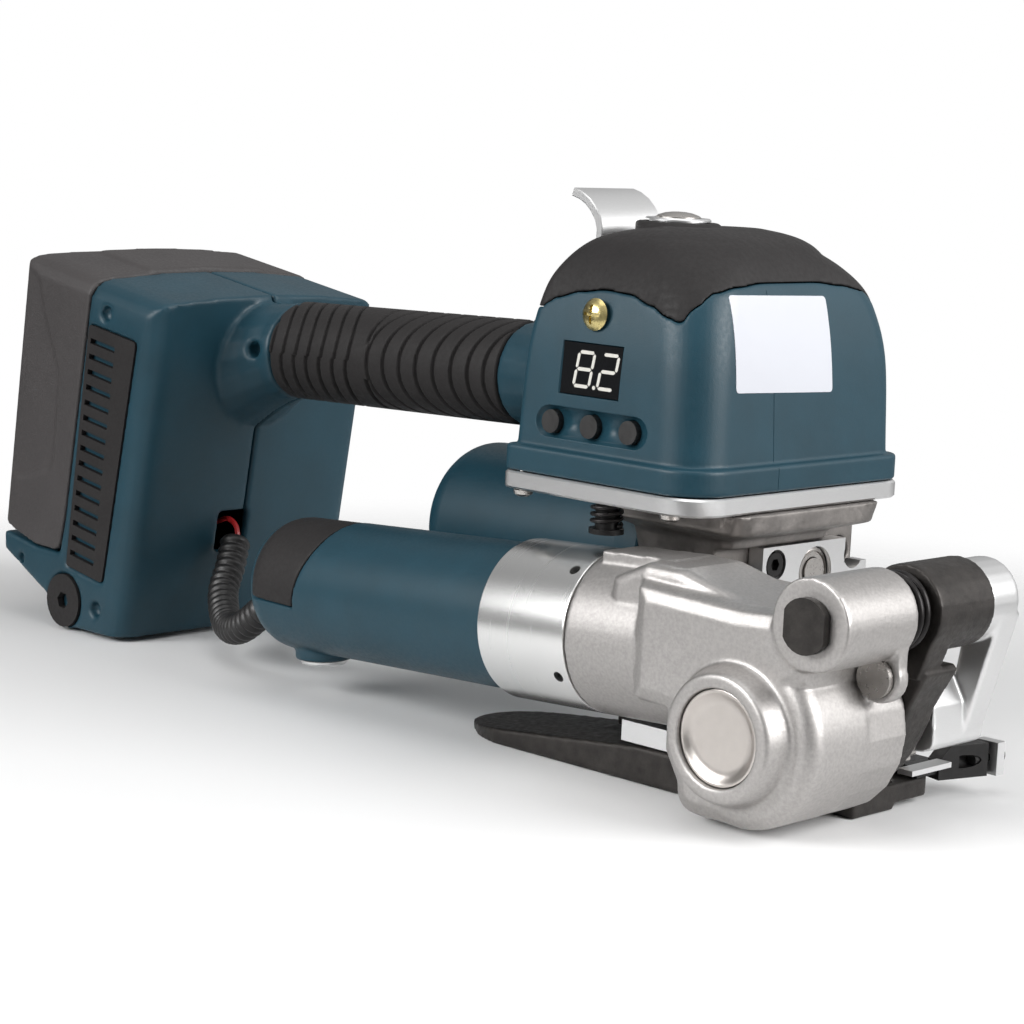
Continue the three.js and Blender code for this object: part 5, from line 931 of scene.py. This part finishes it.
def merged_copy(node):
    bm = bmesh.new()
    bm.from_mesh(NODES[node].data)
    bmesh.ops.remove_doubles(bm, verts=bm.verts, dist=2e-6)
    mesh = bpy.data.meshes.new(node + "_copy")
    bm.to_mesh(mesh)
    bm.free()
    return mesh


def add_pack():
    """Battery pack with a sunk panel on each side and a raised middle on its top and rear."""
    body = merged_copy("battery_pack")
    panel = rounded_outline([(-95, 36), (-63.5, 37), (-44.6, 45.4), (-47, 78.4), (-59.5, 97.5), (-64, 108), (-95, 112)], 5)
    cuts = [prism("panel", panel, "y", -60, -46.2, PACK), prism("panel", panel, "y", 46.2, 60, PACK)]
    body = worked("pack_cut", body, cuts)
    raised = merged_copy("battery_pack")
    raised.transform(Matrix.Translation(PACK.to_3x3() @ Vector((0.6, 0, 0.9)) * MM))
    band = prism("band", box_outline(-64, -36, -23, 25), "z", 96, 130, PACK)
    raised = worked("pack_raised", raised, keep=band)
    form = worked("pack_form", joined("pack", [body, raised]), voxel=0.7, passes=6)
    piece("battery_pack_skin", form, "battery_pack")


add_pack()


def node_middle(name):
    corners = [NODES[name].matrix_world @ Vector(c) for c in NODES[name].bound_box]
    return [(min(c[i] for c in corners) + max(c[i] for c in corners)) / 2 for i in range(3)]


def coil_mesh(name, place, turns, start, wire, sides=12):
    """Round wire along a helix; place gives a point from an angle and a share of the height."""
    steps = round(turns * 32)
    path = [place(start + math.tau * turns * i / steps, i / steps) for i in range(steps + 1)]
    mesh = tube_mesh(name, path, lambda i: wire * MM, sides)
    mesh.shade_smooth()
    return mesh


def add_springs():
    """Coil round the switch plunger, drawn at one length, and torsion coil on the pivot shaft."""
    x, y, _ = node_middle("plunger_spring")
    low, rise, radius, top = 66.95 * MM, 5.4 * MM, 4.05 * MM, 72.9 * MM
    mesh = coil_mesh("plunger_coil", lambda a, t: Vector((x + radius * math.cos(a), y + radius * math.sin(a), low + rise * t)), 3, 0, 0.55)
    coil = piece("plunger_coil", mesh, "plunger_spring")
    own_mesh(coil)

    near, width, wide = -32.6 * MM, 6.89 * MM, 9.3 * MM
    mid_x, mid_z = 22.1 * MM, 56.9 * MM
    mesh = coil_mesh("pivot_coil", lambda a, t: Vector((mid_x + wide * math.cos(a), near + width * t, mid_z + wide * math.sin(a))),
                     2.6, 0.2 * math.pi, 1.04)
    piece("pivot_coil", mesh, "pivot_spring")


def add_dish():
    """Sunk disc with a rounded shoulder and a thin rim on the gear case."""
    profile = [(0, -65.72), (7.9, -65.76), (8.8, -65.84), (9.6, -66.04), (10.3, -66.36), (10.85, -66.7), (11.25, -66.94),
               (11.6, -67.07), (11.95, -67.09), (12.13, -67.02), (12.2, -66.85), (12.2, -64.15), (0, -64.15)]
    dish = piece("dish_skin", lathe("dish", profile, "y", (0, 25.5)), "dish_cap")
    dish.data.materials[0] = satin_metal.material
    shade(dish)


add_springs()
add_dish()


def add_world():
    """White to the camera; a dim studio to everything else, brighter above and to the front right."""
    world = bpy.data.worlds.new("studio")
    bpy.context.scene.world = world
    world.use_nodes = True
    tree = world.node_tree
    tree.nodes.clear()

    def node(kind, **values):
        made = tree.nodes.new(kind)
        for key, value in values.items():
            setattr(made, key, value)
        return made

    def background(strength, colour=None):
        made = node("ShaderNodeBackground")
        made.inputs["Strength"].default_value = strength
        made.inputs["Color"].default_value = (1, 1, 1, 1)
        if colour is not None:
            tree.links.new(colour, made.inputs["Color"])
        return made.outputs["Background"]

    place = node("ShaderNodeTexCoord").outputs["Generated"]
    toward = node("ShaderNodeVectorMath", operation="DOT_PRODUCT")
    toward.inputs[1].default_value = Vector((0.45, 0.35, 0.82)).normalized()
    tree.links.new(place, toward.inputs[0])
    span = node("ShaderNodeMapRange")
    span.inputs["From Min"].default_value = -1
    tree.links.new(toward.outputs["Value"], span.inputs["Value"])
    ramp = node("ShaderNodeValToRGB")
    marks = ramp.color_ramp.elements
    for position, value in ((0.0, 0.2), (0.42, 0.1), (0.58, 0.3), (0.78, 0.62), (1.0, 0.8)):
        mark = marks.new(position) if 0 < position < 1 else marks[0 if position == 0 else -1]
        mark.color = (value, value, value, 1)
    tree.links.new(span.outputs["Result"], ramp.inputs["Fac"])
    rays = node("ShaderNodeLightPath")
    glossy = node("ShaderNodeMixShader")
    tree.links.new(rays.outputs["Is Glossy Ray"], glossy.inputs["Fac"])
    tree.links.new(background(0.11), glossy.inputs[1])
    tree.links.new(background(1.0, ramp.outputs["Color"]), glossy.inputs[2])
    seen = node("ShaderNodeMath", operation="MAXIMUM")
    tree.links.new(rays.outputs["Is Camera Ray"], seen.inputs[0])
    tree.links.new(rays.outputs["Is Transmission Ray"], seen.inputs[1])
    mix = node("ShaderNodeMixShader")
    tree.links.new(seen.outputs["Value"], mix.inputs["Fac"])
    tree.links.new(glossy.outputs["Shader"], mix.inputs[1])
    tree.links.new(background(1.0), mix.inputs[2])
    tree.links.new(mix.outputs["Shader"], node("ShaderNodeOutputWorld").inputs["Surface"])


def add_area(name, at, target, size, power, spread=None):
    data = bpy.data.lights.new(name, "AREA")
    data.shape = "RECTANGLE"
    data.size, data.size_y = size
    data.energy = power
    if spread:
        data.spread = spread * DEG
    lamp = bpy.data.objects.new(name, data)
    bpy.context.scene.collection.objects.link(lamp)
    lamp.location = at
    lamp.rotation_euler = (Vector(target) - Vector(at)).to_track_quat("-Z", "Y").to_euler()


def add_floor():
    size, level = 6.0, -0.0002
    mesh = bpy.data.meshes.new("floor")
    mesh.from_pydata([(-size, -size, level), (size, -size, level), (size, size, level), (-size, size, level)], [], [(0, 1, 2, 3)])
    floor = bpy.data.objects.new("floor", mesh)
    bpy.context.scene.collection.objects.link(floor)
    made = Finish("floor_pale", srgb(240, 240, 240), 0.7)
    made.vary(4, 0.99, 1.0)
    far = made.node("ShaderNodeVectorMath", operation="DISTANCE")
    far.inputs[1].default_value = (-0.14, 0, 0)
    made.link(made.place, far.inputs[0])
    fade = made.node("ShaderNodeMapRange", interpolation_type="SMOOTHSTEP")
    fade.inputs["From Min"].default_value, fade.inputs["From Max"].default_value = 0.2, 0.42
    fade.inputs["To Min"].default_value, fade.inputs["To Max"].default_value = 1, 0
    made.link(far.outputs["Value"], fade.inputs["Value"])
    made.link(fade.outputs["Result"], made.shader.inputs["Alpha"])
    mesh.materials.append(made.material)


add_world()
add_area("key", (0.8, 0.3, 0.5), (-0.03, 0, 0.08), (0.7, 0.7), 5, 110)
add_area("fill", (-0.35, -0.95, 0.5), (0.01, -0.04, 0.05), (0.8, 0.5), 3.2, 90)
add_area("top", (0.05, -0.15, 1.1), (-0.05, 0, 0.05), (0.8, 0.8), 3)
add_floor()
bpy.context.scene.view_settings.view_transform = "Standard"

bpy.context.view_layer.update()
